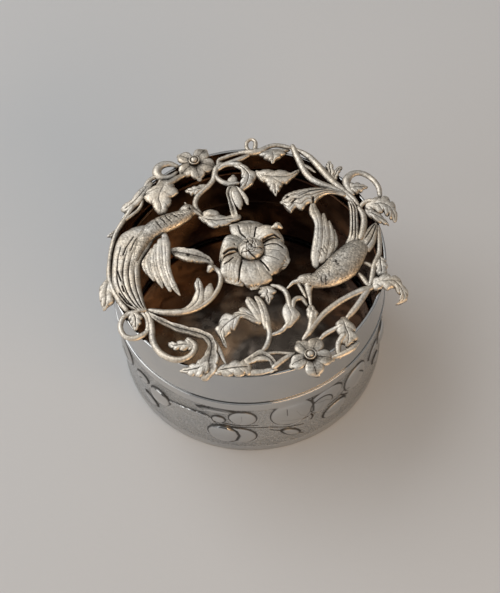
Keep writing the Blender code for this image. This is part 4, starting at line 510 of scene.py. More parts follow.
         (-0.052, -0.546, -0.07, -0.494, 0.5), (-0.102, -0.598, -0.135, -0.494, 0.5),
         (-0.134, -0.646, -0.192, -0.508, 0.46), (-0.168, -0.658, -0.254, -0.598, 0.42),
         (-0.184, -0.704, -0.236, -0.66, 0.36), (-0.178, -0.748, -0.206, -0.734, 0.28)),
    ),
    "bud_front": (
        ((0.24, -0.624, 0.286, -0.62, 0.42), (0.232, -0.58, 0.324, -0.578, 0.5),
         (0.222, -0.535, 0.34, -0.54, 0.54), (0.224, -0.49, 0.312, -0.492, 0.54),
         (0.244, -0.448, 0.308, -0.45, 0.46)),
    ),
    "leaf_under_flower": (
        ((0.072, -0.288, 0.158, -0.286, 0.28), (0.066, -0.326, 0.19, -0.318, 0.34),
         (0.072, -0.362, 0.172, -0.352, 0.36), (0.1, -0.388, 0.162, -0.382, 0.32),
         (0.118, -0.416, 0.138, -0.42, 0.26)),
    ),
    "leaves_front": (
        ((-0.265, -0.93, -0.268, -0.97, 0.28), (-0.214, -0.9, -0.214, -0.986, 0.36),
         (-0.15, -0.88, -0.15, -0.998, 0.42), (-0.09, -0.872, -0.09, -1.0, 0.42),
         (-0.036, -0.872, -0.034, -0.994, 0.36)),
        ((-0.066, -0.87, -0.05, -0.92, 0.38), (0.002, -0.832, 0.012, -0.904, 0.46),
         (0.054, -0.808, 0.06, -0.898, 0.48), (0.108, -0.846, 0.101, -0.904, 0.44),
         (0.147, -0.894, 0.114, -0.93, 0.38), (0.161, -0.94, 0.121, -0.951, 0.32),
         (0.13, -0.979, 0.1, -0.962, 0.28)),
        ((0.15, -0.966, 0.11, -0.946, 0.26), (0.06, -0.994, 0.06, -0.955, 0.3),
         (-0.015, -0.995, -0.01, -0.952, 0.3), (-0.058, -0.988, -0.05, -0.95, 0.26)),
    ),
}

# Rounded bodies: x, y, level of the widest line, half width and height above it
BODY_SHARES = {
    "bird_left": (
        ((-0.362, 0.394, 0.42, 0.02, 0.018), (-0.398, 0.392, 0.42, 0.042, 0.036),
         (-0.448, 0.366, 0.42, 0.056, 0.042), (-0.51, 0.338, 0.4, 0.07, 0.046),
         (-0.57, 0.314, 0.4, 0.075, 0.05), (-0.632, 0.284, 0.4, 0.076, 0.052),
         (-0.688, 0.242, 0.4, 0.07, 0.052), (-0.734, 0.186, 0.4, 0.058, 0.046),
         (-0.762, 0.12, 0.42, 0.048, 0.04), (-0.784, 0.055, 0.44, 0.036, 0.032),
         (-0.796, -0.005, 0.46, 0.022, 0.022)),
        ((-0.462, 0.405, 0.48, 0.026, 0.026), (-0.432, 0.418, 0.5, 0.04, 0.036),
         (-0.398, 0.416, 0.5, 0.04, 0.034), (-0.366, 0.4, 0.46, 0.02, 0.018)),
    ),
    "bird_right": (
        ((0.345, -0.268, 0.42, 0.022, 0.02), (0.375, -0.262, 0.42, 0.042, 0.038),
         (0.42, -0.266, 0.42, 0.055, 0.042), (0.475, -0.27, 0.4, 0.066, 0.046),
         (0.532, -0.252, 0.4, 0.088, 0.052), (0.6, -0.218, 0.4, 0.106, 0.058),
         (0.665, -0.164, 0.4, 0.118, 0.06), (0.722, -0.098, 0.4, 0.108, 0.058),
         (0.776, -0.032, 0.4, 0.09, 0.05), (0.816, 0.018, 0.38, 0.07, 0.038)),
    ),
    "scroll_inner_left": (
        ((-0.24, -0.096, 0.38, 0.016, 0.014), (-0.262, -0.106, 0.4, 0.03, 0.028),
         (-0.28, -0.13, 0.38, 0.018, 0.016)),
    ),
    "flower_petals": (
        ((0.195, 0.194, 0.66, 0.014, 0.016), (0.232, 0.206, 0.68, 0.03, 0.028),
         (0.258, 0.194, 0.64, 0.014, 0.014)),
        ((-0.055, 0.027, 0.38, 0.04, 0.01), (-0.02, 0.027, 0.38, 0.078, 0.012),
         (0.032, 0.027, 0.38, 0.092, 0.012), (0.084, 0.027, 0.38, 0.078, 0.012),
         (0.119, 0.027, 0.38, 0.04, 0.01)),
    ),
}

# Small flowers: middle and level, then each petal's direction in degrees, reach and half width
FLORET_SHARES = {
    "floret_front": (0.388, -0.885, 0.46, (
        (120, 0.145, 0.056), (66, 0.158, 0.056), (-8, 0.150, 0.060), (-77, 0.148, 0.064),
        (202, 0.142, 0.056),
    )),
    "floret_back": (-0.353, 0.872, 0.42, (
        (144, 0.142, 0.054), (55, 0.145, 0.058), (-19, 0.155, 0.064), (-78, 0.152, 0.055),
        (226, 0.145, 0.058),
    )),
}

# A small petal from its root outwards: share of its reach and half width, and the drop in level
PETAL_SHARES = (
    (0.12, 0.40, 0.00), (0.42, 0.86, 0.03), (0.68, 1.00, 0.03), (0.88, 0.78, -0.03), (1.00, 0.34, -0.12),
)

# The castings, what lies on top first
TOP_DOWN = (
    "flower_heart", "flower_petals", "bird_right_wing", "bird_left_wing", "bird_left", "bird_right",
    "bird_left_tail", "bird_right_tail", "floret_front", "floret_back", "branch_left", "acanthus_right",
    "leaf_front_left", "leaf_right_upper", "leaf_right_lower", "leaf_left_back", "leaf_back",
    "tulip_front", "bud_front", "leaf_by_wing", "leaf_under_flower", "leaf_front_right",
    "scroll_inner_left", "scroll_back", "curl_right_back", "leaves_front", "vine_back",
    "stems_back_right", "stems_front_right", "vine_right", "scroll_front_left", "loop_back_left",
    "vine_left",
)

# The rolled heart of the flower
HEART_X_SHARE = 0.032
HEART_Y_SHARE = 0.027
HEART_R_SHARE = 0.094
HEART_LEVEL = 0.52
HEART_H = 0.0017
HEART_ROWS = 40
HEART_AROUND = 160
HEART_LOBES = 5
HEART_WIND = 1.1
HEART_TILT = 0.00022
HEART_CORE = 0.42
HEART_SWIRL = (0.44, 0.10, 0.22)
HEART_GROOVE_W = 0.055
HEART_SWIRL_W = 0.035
HEART_CUT = (0.10, 0.09)
HEART_SHADE = (0.5, 0.35)
HEART_END = 0.03
HEART_WAVE = 0.03
HEART_GROOVE_SPAN = 0.15
HEART_FOLD_SPAN = 0.1
HEART_DROP = (0.92, 3.5)
HEART_LEAN = (0.3, 4.0)

# How each kind of leaf is chased, in metres and shares; PLAIN_LOOK serves where a kind says nothing
PLAIN_LOOK = {
    "full": 1.12, "blunt": 0, "crown": 0.0006, "round": 2.6, "strips": 1, "begin": 0, "line": 0, "shaft": 0,
    "vein": 0, "puff": 0, "swell": 0, "hollow": 0, "lip": 0, "cup": 0, "tilt": 0, "teeth": 0, "bite": 0,
    "lobes": 0, "lean": 0.6, "stagger": 0.4, "cut": 0, "fine": 0, "nick": 0,
}
LOOKS = {
    "leaf": {"crown": 0.0009, "round": 3.0, "shaft": 0.00022, "vein": 0.00012, "swell": 0.00014,
             "lobes": 3, "cut": 0.3, "tilt": 0.00012, "fine": 9, "nick": 0.05},
    "wide_leaf": {"full": 1.32, "crown": 0.001, "round": 3.4, "strips": 2, "line": 0.00012,
                  "puff": 0.00008, "lobes": 3, "cut": 0.26, "vein": 0.00012, "swell": 0.00014, "fine": 9,
                  "nick": 0.05},
    "broad_leaf": {"crown": 0.0009, "round": 3.4, "shaft": 0.00016, "swell": 0.00012, "lobes": 2,
                   "cut": 0.26},
    "hollow_leaf": {"full": 1.12, "crown": 0.0009, "round": 3.4, "hollow": 0.00016, "lip": 0.00008,
                    "shaft": 0.00012, "lobes": 3, "cut": 0.14, "swell": 0.0001, "fine": 11, "nick": 0.06},
    "long_leaf": {"crown": 0.0009, "round": 3.4, "hollow": 0.0002, "lip": 0.00014, "lobes": 8, "cut": 0.22,
                  "swell": 0.00014, "shaft": 0.00012, "stagger": 0.0},
    "acanthus": {"full": 1.1, "crown": 0.0011, "round": 3.2, "strips": 4, "line": 0.00012, "puff": 0.00014,
                 "fine": 13, "nick": 0.05},
    "ragged": {"full": 1.16, "crown": 0.0011, "round": 3.0, "shaft": 0.00014, "lobes": 4, "cut": 0.36,
               "vein": 0.00014, "swell": 0.00022, "lean": 0.7, "cup": -0.0003, "fine": 9, "nick": 0.05},
    "curled": {"full": 1.15, "crown": 0.0011, "round": 3.0, "shaft": 0.00016, "lobes": 3, "cut": 0.34,
               "vein": 0.00016, "swell": 0.00022, "lean": 0.5, "stagger": 0.5},
    "feather": {"full": 1.16, "crown": 0.0009, "round": 3.0, "shaft": 0.00007, "vein": 0.00005, "lobes": 9,
                "cut": 0.04, "lean": 0.8},
    "fan": {"full": 1.06, "crown": 0.0011, "round": 4.0, "strips": 5, "line": 0.00022, "puff": 0.00016,
            "begin": 0.34},
    "tail": {"crown": 0.0009, "round": 3.4, "strips": 3, "line": 0.00024, "puff": 0.00018,
             "shaft": 0.00006},
    "petal": {"full": 1.22, "blunt": 0.55, "crown": 0.0009, "round": 4.0, "strips": 3, "line": 0.00004,
              "puff": 0.00005, "cup": -0.0008, "teeth": 5, "bite": 0.0007, "begin": 0.1},
    "small_petal": {"full": 1.08, "crown": 0.0008, "round": 3.6, "shaft": 0.00008, "hollow": 0.00016,
                    "cup": -0.0002},
    "smooth": {"crown": 0.0009, "round": 3.0},
    "tulip": {"crown": 0.001, "round": 3.0, "shaft": 0.00008, "lip": 0.00006},
}

# The look of each blade of a casting in order; the last one serves the rest
BLADE_LOOKS = {
    "scroll_front_left": ("curled", "leaf"),
    "leaf_front_left": ("long_leaf", "leaf", "smooth"),
    "scroll_inner_left": ("broad_leaf", "smooth"),
    "bird_left_tail": ("fan",),
    "bird_left_wing": ("feather",),
    "leaf_by_wing": ("hollow_leaf",),
    "branch_left": ("leaf", "smooth", "hollow_leaf", "smooth"),
    "flower_petals": ("petal",),
    "bird_right_wing": ("feather",),
    "bird_right_tail": ("tail",),
    "acanthus_right": ("acanthus",),
    "curl_right_back": ("wide_leaf",),
    "leaf_right_upper": ("ragged", "leaf"),
    "leaf_right_lower": ("ragged",),
    "stems_front_right": ("broad_leaf",),
    "leaf_front_right": ("curled",),
    "vine_left": ("wide_leaf", "wide_leaf", "broad_leaf", "wide_leaf"),
    "leaf_left_back": ("wide_leaf",),
    "scroll_back": ("wide_leaf", "leaf", "smooth"),
    "vine_back": ("wide_leaf",),
    "leaf_back": ("wide_leaf",),
    "tulip_front": ("tulip", "tulip", "tulip", "ragged"),
    "bud_front": ("tulip",),
    "leaves_front": ("leaf", "hollow_leaf", "smooth"),
}

# Barbs on the birds' bodies: their pitch and depth
BIRD_BARBS = {"bird_left": (0.0010, 0.00008), "bird_right": (0.0011, 0.00009)}
FEATHERED = (
    "bird_left", "bird_right", "bird_left_tail", "bird_right_tail", "bird_left_wing", "bird_right_wing",
)

# The ringed buttons of the small flowers: place in plan, level and radius
BUTTON_SHARES = {
    "floret_front": (0.388, -0.885, 0.62, 0.042),
    "floret_back": (-0.353, 0.872, 0.56, 0.042),
}
BUTTON_H = 0.0009
BUTTON_AROUND = 36

# Each ring of a button: its radius and rise as shares of the button's, and its painted shade
BUTTON_RINGS = (
    (1.0, -0.5, 0.0), (1.0, 0.25, 0.3), (0.97, 0.45, 0.0), (0.90, 0.55, 0.0),
    (0.80, 0.48, 0.1), (0.72, 0.24, 0.55), (0.66, 0.24, 0.55), (0.60, 0.55, 0.2),
    (0.50, 0.80, 0.0), (0.38, 0.92, 0.0), (0.24, 0.99, 0.0), (0.10, 1.0, 0.0),
)

# Lines and dots chased into the castings: their path in plan, half width and depth, which also sets their
# painted shade
MARK_SHARES = {
    "bird_left_tail": (
        (((-0.75, 0.219), (-0.8, 0.168), (-0.835, 0.075)), 0.0045, 0.0002),
        (((-0.812, 0.2), (-0.869, 0.104), (-0.888, 0.042)), 0.0045, 0.0002),
        (((-0.908, 0.11), (-0.927, 0.01), (-0.935, -0.09)), 0.004, 0.00015),
        (((-0.93, -0.096), (-0.918, -0.14), (-0.904, -0.18)), 0.0045, 0.0004),
        (((-0.896, -0.225), (-0.884, -0.27)), 0.0055, 0.0004),
        (((-0.919, -0.281), (-0.869, -0.358), (-0.831, -0.388)), 0.006, 0.0005),
    ),
    "bird_left": (
        (((-0.662, 0.35), (-0.646, 0.296), (-0.608, 0.242)), 0.0035, 0.00012),
        (((-0.623, 0.373), (-0.608, 0.319), (-0.569, 0.273)), 0.0035, 0.00012),
        (((-0.585, 0.388), (-0.569, 0.327), (-0.531, 0.288)), 0.0035, 0.00012),
        (((-0.527, 0.365), (-0.492, 0.335)), 0.004, 0.0002),
        (((-0.485, 0.358), (-0.446, 0.35)), 0.0035, 0.00012),
        (((-0.64, 0.3), (-0.622, 0.262)), 0.003, 0.0001),
        (((-0.6, 0.33), (-0.585, 0.292)), 0.003, 0.0001),
        (((-0.548, 0.345), (-0.53, 0.318)), 0.003, 0.0001),
        (((-0.398, 0.408),), 0.009, 0.0004),
    ),
    "leaf_by_wing": ((((-0.423, 0.017),), 0.01, 0.0004),),
    "flower_petals": (
        (((-0.165, 0.005), (-0.13, 0.027), (-0.09, 0.037), (-0.055, 0.025)), 0.008, 0.0007),
        (((0.12, 0.1), (0.16, 0.12), (0.2, 0.135), (0.24, 0.11)), 0.007, 0.0006),
        (((0.125, 0.06), (0.18, 0.067), (0.22, 0.06), (0.262, 0.028)), 0.0045, 0.0003),
        (((-0.1, -0.03), (-0.13, -0.062), (-0.165, -0.085)), 0.0045, 0.0003),
        (((0.105, -0.02), (0.165, -0.045), (0.225, -0.075)), 0.0035, 0.00012),
        (((0.115, 0.02), (0.175, 0.015), (0.24, 0.0)), 0.003, 0.00008),
        (((-0.042, -0.07), (-0.058, -0.135), (-0.066, -0.2), (-0.074, -0.225)), 0.0045, 0.0005),
        (((0.09, -0.066), (0.125, -0.118), (0.15, -0.165)), 0.0045, 0.0005),
        (((-0.052, 0.245), (-0.04, 0.175), (-0.004, 0.135)), 0.0045, 0.0003),
        (((0.02, 0.23), (0.02, 0.16)), 0.004, 0.00008),
        (((0.078, 0.215), (0.066, 0.175), (0.06, 0.135)), 0.0045, 0.0004),
        (((-0.16, 0.12), (-0.11, 0.125), (-0.06, 0.105)), 0.004, 0.0001),
        (((-0.085, 0.075),), 0.006, 0.0003),
        (((-0.01, -0.12), (-0.015, -0.18)), 0.003, 0.00006),
        (((0.055, -0.13), (0.065, -0.2)), 0.003, 0.00006),
        (((-0.12, -0.08), (-0.135, -0.15)), 0.003, 0.00006),
    ),
    "flower_heart": (
        (((-0.025, 0.06), (0.01, 0.065), (0.035, 0.045), (0.035, 0.02)), 0.0035, 0.00016),
        (((0.04, 0.12), (0.05, 0.08), (0.045, 0.05)), 0.0035, 0.00016),
        (((0.05, 0.015), (0.1, 0.015), (0.112, 0.004)), 0.0035, 0.00016),
        (((0.012, -0.005), (0.02, -0.03), (0.05, -0.055)), 0.0035, 0.00016),
        (((-0.045, -0.014), (0.0, -0.015), (0.02, -0.005)), 0.0035, 0.00016),
        (((-0.005, 0.105), (0.012, 0.085), (0.012, 0.07)), 0.004, 0.0002),
    ),
    "bird_right_wing": (
        (((0.507, -0.04), (0.533, -0.087)), 0.0035, 0.00015),
        (((0.533, -0.02), (0.557, -0.067)), 0.0035, 0.00015),
        (((0.553, 0.0), (0.573, -0.04)), 0.0035, 0.00015),
    ),
    "bird_right": (
        (((0.627, -0.14), (0.627, -0.155)), 0.005, 0.0003),
        (((0.637, -0.173),), 0.006, 0.0003),
        (((0.513, -0.267), (0.507, -0.327)), 0.0035, 0.00012),
        (((0.543, -0.26), (0.54, -0.32)), 0.0035, 0.00012),
        (((0.573, -0.23), (0.567, -0.27)), 0.003, 0.0001),
        (((0.46, -0.2), (0.44, -0.24)), 0.0035, 0.00012),
        (((0.428, -0.323),), 0.009, 0.0004),
    ),
    "acanthus_right": (
        (((0.323, 0.48),), 0.01, 0.0005),
        (((0.38, 0.447), (0.353, 0.42)), 0.007, 0.0004),
        (((0.51, 0.453), (0.507, 0.407)), 0.008, 0.0005),
        (((0.407, 0.473), (0.5, 0.513), (0.607, 0.527)), 0.005, 0.00015),
    ),
}

# Bosses of the chased band: degrees round, height, half sizes in both, lean, height share and flatness
PAD_SHARES = (
    (213.5, 0.425, 5.0, 0.055, 30, 0.4, 3),
    (218.0, 0.2, 4.5, 0.045, -25, 0.4, 3),
    (224.8, 0.385, 5.6, 0.095, 12, 1.5, 2),
    (253.0, 0.565, 8.0, 0.03, 4, 0.4, 3),
    (253.5, 0.44, 3.0, 0.05, 30, 0.5, 2),
    (263.8, 0.485, 5.9, 0.1, 0, 0.5, 3),
    (260.5, 0.225, 8.8, 0.118, 0, 0.35, 4),
    (255.0, 0.235, 6.9, 0.115, 0, 1.5, 2),
    (301.0, 0.5, 8.5, 0.105, 0, 0.4, 3),
    (284.8, 0.48, 9.3, 0.168, 0, 0.55, 3),
    (298.3, 0.44, 5.2, 0.11, -12, 0.55, 3),
    (305.5, 0.245, 6.6, 0.075, 20, 0.6, 2.5),
    (284.0, 0.2, 5.0, 0.04, -40, 0.35, 3),
    (318.0, 0.44, 7.2, 0.14, 0, 1.1, 2),
)

# A raised stem and the cut lines of the band: degrees of their middle, path, half width and height or depth;
# the lines are darkened with painted shade
RAISED_SHARES = (
    (240, ((231, 0.42), (236, 0.445), (242, 0.455), (247, 0.46), (250, 0.42), (251, 0.38)), 0.014, 0.24),
)
CUT_SHARES = (
    # painted shadow: this line darkens the right side of the domed bud
    (260, ((257.5, 0.345), (261.0, 0.3), (262.0, 0.24), (260.8, 0.17)), 0.01, 0.9),
    (253, ((248.2, 0.27), (249.0, 0.19), (252.0, 0.13), (257.0, 0.112)), 0.006, 0.5),
    (254, ((250.5, 0.32), (254.0, 0.35), (258.0, 0.345)), 0.007, 0.6),
    (294, ((294.2, 0.4), (294.3, 0.5), (294.0, 0.585)), 0.007, 0.6),
    (282, ((282.6, 0.485), (282.4, 0.57)), 0.006, 0.4),
    (287, ((291.0, 0.38), (288.0, 0.44), (286.5, 0.52)), 0.005, 0.25),
    (284, ((289.5, 0.37), (284.0, 0.4), (279.5, 0.43)), 0.005, 0.25),
    (299, ((296.0, 0.38), (298.0, 0.43), (299.0, 0.48)), 0.005, 0.25),
    (304, ((299.5, 0.27), (304.0, 0.25), (308.5, 0.255)), 0.005, 0.3),
    (318, ((314.0, 0.37), (317.0, 0.45), (319.0, 0.52)), 0.005, 0.25),
    (264, ((262.0, 0.4), (263.5, 0.47), (263.5, 0.54)), 0.005, 0.25),
    (262, ((255, 0.365), (260, 0.345), (266, 0.345), (275, 0.33), (283, 0.275), (290, 0.245)), 0.0075, 0.5),
    (305, ((294, 0.325), (301, 0.335), (308, 0.355), (313, 0.4)), 0.0075, 0.5),
    (299, ((295, 0.5), (300, 0.485), (303.5, 0.43), (304, 0.38)), 0.005, 0.35),
    (286, ((280, 0.335), (286, 0.312), (292, 0.33)), 0.007, 0.6),
    (294, ((293.5, 0.35), (294.5, 0.3), (293.5, 0.27)), 0.009, 0.6),
    (284, ((275, 0.29), (280, 0.24), (283, 0.175), (290, 0.112)), 0.006, 0.6),
    (262, ((255, 0.385), (261, 0.37), (270, 0.372)), 0.006, 0.6),
    (321, ((319.5, 0.505), (321, 0.47), (322.5, 0.42)), 0.007, 0.7),
    (311, ((309, 0.36), (311, 0.32), (313.5, 0.285)), 0.008, 0.6),
    (253, ((246, 0.545), (250, 0.58), (255, 0.585), (260, 0.57)), 0.005, 0.4),
    (256, ((252, 0.54), (254, 0.52), (257, 0.515)), 0.005, 0.3),
    (213, ((210.5, 0.35), (212, 0.4), (214, 0.44)), 0.006, 0.5),
    (220, ((219, 0.15), (222, 0.19), (223.5, 0.24)), 0.005, 0.4),
)
STEM_BEADS = 0.030
BEAD_DEPTH = 0.25
LINE_SHARE = 0.0070
CUT_SINK = 0.4
CUT_SHADE = 1.8
BOSS_COVER = (1.12, 12)
STEM_COVER = (1.3, 4)
STEM_TOP_SHARE = 0.8
STEM_TOP_DARK = 0.2

# Silver of the castings, with painted shade (ambient occlusion and the hollow attribute) in its recesses,
# grooves and undersides, standing also for oxide there
SHADE_REACH = 0.0034
SHADE_SAMPLES = 8
SHADE_SPAN = (0.34, 0.97, 1.0, 0.0)
HOLLOW_SPAN = (0.10, 0.75)
HOLLOW_SHADE_SHARE = 0.90
PATCHES = ((420.0, 0.20), (1700.0, 0.24))
PATCH_LEAST = -0.12
GRAIN = (1500.0, 5.0)
GRAIN_H = 0.00017
GRAIN_STRENGTH = 0.7
DOT_PITCH = 1500.0
DOT_SPAN = (0.10, 0.26, 1.0, 0.0)
DOT_PATCHES = 330.0
DOT_PATCH_SPAN = (0.36, 0.54)
DOT_H = 0.00006
DOT_STRENGTH = 0.8
DOT_DARK = 0.6
CAST_COOL = (0.83, 0.78, 0.70, 1.0)
CAST_WARM = (0.92, 0.81, 0.66, 1.0)
# near black colour of the painted shade, the random mottling and the stippled dots
CAST_SHADE_AND_MOTTLE = (0.030, 0.022, 0.016, 1.0)
CAST_TONES = 160.0
CAST_ROUGH = 0.46
CAST_DARK_ROUGH = 0.62
CAST_DARK_SPAN = (0.0, 0.9)
CAST_RUB = (900.0, (0.3, 0.7, -0.06, 0.08))
CAST_METAL_SPAN = (0.35, 1.0, 1.0, 0.55)

# Silver sheet
MIDDLE_SPAN = (0.35, 0.65)
SHEET_TONES = 60.0
SHEET_COOL = (0.55, 0.555, 0.56, 1.0)
SHEET_WARM = (0.62, 0.61, 0.59, 1.0)
SHEET_ROUGH = 0.11
SHEET_RUB = (700.0, 5.0, (1.0, 1.0, 0.25))
SHEET_RUB_SPAN = (0.35, 0.65, -0.03, 0.05)
SCRATCHES = (2600.0, 3.0, (0.3, 0.3, 1.0))
SCRATCH_BUMP = (0.000012, 0.6)
DENTS = (70.0, 2.0)
DENT_BUMP = (0.00030, 0.6)
CHASE_SHADE_AND_MATT = (0.06, 0.055, 0.05, 1.0)
CHASE_SPAN = (0.20, 0.80)
CHASE_SHARE = 0.92
CHASE_ROUGH = 0.5
DASH_PITCH = 1500.0
DASHES = (1.0, 1.0, 1.7)
DASH_SPAN = (0.15, 0.55)
DASH_BUMP = (0.00022, 0.8)
MATT_DARK = 0.30
MATT_ROUGH = 0.14
WALL_DENTS = (90.0, 3.0)
WALL_DENT_BUMP = (0.00040, 0.7)

# Gilt inside: worn in patches, with a painted glow that leaves the left (-x) side light and the right side
# dark
GILT_LIGHT = (0.56, 0.32, 0.17, 1.0)
GILT_DEEP = (0.075, 0.034, 0.022, 1.0)
FLOOR_LIGHT = (0.56, 0.35, 0.20, 1.0)
FLOOR_DEEP = (0.20, 0.165, 0.135, 1.0)
GILT_ROUGH = 0.12
FLOOR_ROUGH = 0.20
COLLAR_ROUGH = 0.30
GLOW_SIDE_SPAN = (-0.030, 0.004)
GLOW_SIDE_EDGE = (60.0, (0.3, 0.7, -0.02, 0.02))
WORN_PATCHES = (70.0, 5.0)
WORN_PATCH_SPAN = (0.34, 0.66, -0.45, 0.45)
WORN_RUB = (220.0, 4.0)
WORN_RUB_SPAN = (0.3, 0.7, -0.05, 0.10)
WORN_DENTS = (75.0, 2.0)
WORN_DENT_BUMP = (0.0016, 0.7)

# The studio
TABLE_HALF = 3.0
TABLE_DROP = 0.00002
TABLE_COLOUR = (0.68, 0.68, 0.68, 1.0)
TABLE_ROUGH = 0.85
TABLE_GRAIN = 900.0
TABLE_BUMP = (0.0001, 0.3)
TABLE_FADE = (0.20, 0.60)
LAMPS = (
    ("lamp_window", (-0.70, 0.45, 0.85), 1.2, 0.9, 6.4, (0.97, 0.985, 1.0)),
    ("lamp_left", (-0.88, -0.42, 0.34), 0.70, 0.45, 1.8, (0.98, 0.99, 1.0)),
    ("lamp_front", (0.55, -0.75, 0.32), 0.9, 0.4, 4.0, (1.0, 0.67, 0.38)),
)
LAMP_AIM = (0, 0, 0.03)
ROOM_TONES = (
    (0.0, (0.10, 0.10, 0.10, 1.0)), (0.17, (0.04, 0.037, 0.034, 1.0)), (0.38, (0.10, 0.097, 0.095, 1.0)),
    (0.62, (0.28, 0.277, 0.27, 1.0)), (1.0, (0.60, 0.60, 0.60, 1.0)),
)
ROOM_SPAN = (-0.2, 1.0)
ROOM_STRENGTH = 0.78
BACKDROP = (0.48, 0.48, 0.475, 1.0)


def level_z(level):
    return RIM_Z + level * RELIEF_H


def spots(x, y, level):
    """Points over places of the plan, at levels of the relief."""
    return np.column_stack([x * LID_R, y * LID_R, level_z(level)])


def circles(angles, radii, heights, x=0.0, y=0.0):
    """Points at radii and heights round a place of the plan, for each of the angles."""
    across, ahead = x + np.cos(angles) * radii, y + np.sin(angles) * radii
    return np.stack(np.broadcast_arrays(across, ahead, heights), -1)


def refined(rows, count):
    """Rows of numbers along a smooth curve through the given rows."""
    ends = np.vstack([2 * rows[0] - rows[1], rows, 2 * rows[-1] - rows[-2]])
    places = np.linspace(0, len(rows) - 1, count)
    i = np.minimum(places.astype(int), len(rows) - 2)
    t = (places - i)[:, None]
    a, b, c, d = ends[i], ends[i + 1], ends[i + 2], ends[i + 3]
    return b + (c - a) / 2 * t + (2 * a - 5 * b + 4 * c - d) / 2 * t**2 + (3 * (b - c) + d - a) / 2 * t**3


def drawn(rows, plan):
    """Rows along a smooth curve, as close as the castings are drawn, and the length of its plan."""
    far = np.linalg.norm(np.diff(plan, axis=0), axis=1).sum() * LID_R
    return refined(rows, int(np.clip(far / POINT_STEP, LEAST_ROWS, MOST_ROWS))), far


def unit(vectors):
    return vectors / np.maximum(np.linalg.norm(vectors, axis=-1, keepdims=True), 1e-12)


def directions(path):
    return unit(np.gradient(path, axis=0))


def bell(away, width):
    return np.exp(-(away / width) ** 2)


def ramp(values, start, span):
    return np.clip((values - start) / span, 0, 1)


def to_whole(values):
    """How far each value is from the nearest whole number."""
    return values - np.round(values)


class Skin:
    """Closed skins over rings of points, with a value at each point for the painted shade, standing also for
    oxide, of its hollows, grooves and undersides.
    """

    def __init__(self):
        self.points = []
        self.hollow_shades = []
        self.faces = []
        self.count = 0

    def add(self, rings, hollow, closed=False):
        rows, around, _ = rings.shape
        index = np.arange(rows * around).reshape(rows, around)
        first = index if closed else index[:-1]
        second = np.roll(index, -1, 0) if closed else index[1:]
        quads = np.stack([first, np.roll(first, -1, 1), np.roll(second, -1, 1), second], -1).reshape(-1, 4)
        points = rings.reshape(-1, 3)
        a, b, c, d = (points[quads[:, k]] - points.mean(0) for k in range(4))
        volume = (a * np.cross(b, c)).sum() + (a * np.cross(c, d)).sum()
        faces = quads.tolist()
        if not closed:
            faces += [index[0][::-1].tolist(), index[-1].tolist()]
        if volume < 0:
            faces = [face[::-1] for face in faces]
        self.faces += [[corner + self.count for corner in face] for face in faces]
        self.points.append(points)
        self.hollow_shades.append(np.clip(hollow, 0, 1).reshape(-1))
        self.count += len(points)

    def piece(self, name, body, nodes, materials, box):
        """The finished object inside the part's box, riding on its body in place of its nodes."""
        mesh = bpy.data.meshes.new(name)
        mesh.from_pydata(np.clip(np.vstack(self.points), box[0], box[1]).tolist(), [], self.faces)
        # the hollow attribute carries the painted shade of grooves, hollows and undersides
        put_values(mesh, "hollow", np.clip(np.concatenate(self.hollow_shades), 0, 1))
        for material in materials:
            mesh.materials.append(material)
        mesh.shade_smooth()
        obj = shown(name, mesh)
        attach(obj, body)
        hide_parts(*nodes)
        return obj


def shown(name, data):
    """A new object in the scene."""
    obj = bpy.data.objects.new(name, data)
    bpy.context.scene.collection.objects.link(obj)
    return obj


def put_values(mesh, name, values):
    layer = mesh.attributes.new(name, "FLOAT", "POINT")
    layer.data.foreach_set("value", values.astype(np.float32).reshape(-1))


def tips(path, reach_start, reach_end):
    """Row numbers, widths and shifts that round off both ends of a path."""
    turns = np.radians(TIP_TURNS)
    count = len(path)
    rows = np.concatenate([np.zeros(len(turns), int), np.arange(count), np.full(len(turns), count - 1)])
    widths = np.concatenate([np.cos(turns)[::-1], np.ones(count), np.cos(turns)])
    ahead = directions(path)
    shifts = np.zeros((len(rows), 3))
    shifts[: len(turns)] = -ahead[0] * (np.sin(turns) * reach_start)[::-1, None]
    shifts[-len(turns):] = ahead[-1] * (np.sin(turns) * reach_end)[:, None]
    return rows, widths, shifts


def outline(look, s, t, far):
    """Share of the full width, swell of each lobe and veins, over the places of a blade."""
    share = np.ones_like(s * t)
    lobe = vein = 0 * share
    lobes = look["lobes"]
    if lobes:
        stagger = np.where(s < 0, look["stagger"], 0)
        phase = lobes * t - look["lean"] * abs(s) + stagger
        at_edge = lobes * t - look["lean"] + stagger
        share = 1 - look["cut"] * (1 - abs(np.sin(math.pi * at_edge)) ** LOBE_POWER)
        lobe = abs(np.sin(math.pi * phase)) ** SWELL_POWER
        vein = bell(to_whole(phase) / lobes * far, CUT_W)
    if look["fine"]:
        share = share - look["nick"] * (1 - abs(np.sin(math.pi * look["fine"] * t)) ** NICK_POWER)
    return share, lobe, vein


def chasing(look, s, t, half_width, lobe, vein):
    """Depth of the cut lines and height of what swells between them, over the places of a blade."""
    strips = look["strips"]
    place = (s + 1) / 2 * strips
    begun = ramp(t - look["begin"] - BEGIN_SWAY * np.sin(place * 2), 0, BEGIN_SPAN)
    from_line = abs(to_whole(place)) * 2 * half_width / strips
    from_middle = to_whole(place + 0.5) * 2 * half_width / strips
    inner = (place > 0.5) & (place < strips - 0.5)
    cuts = look["line"] * bell(from_line, CUT_W) * inner * begun
    cuts = cuts + look["shaft"] * bell(from_middle, CUT_W * SHAFT_SHARE) * begun
    cuts = cuts + look["vein"] * vein * abs(s) ** 0.5
    puff = look["puff"] * (1 - (2 * (place - np.floor(place)) - 1) ** 2) * begun
    return cuts, puff + look["swell"] * lobe * abs(s)


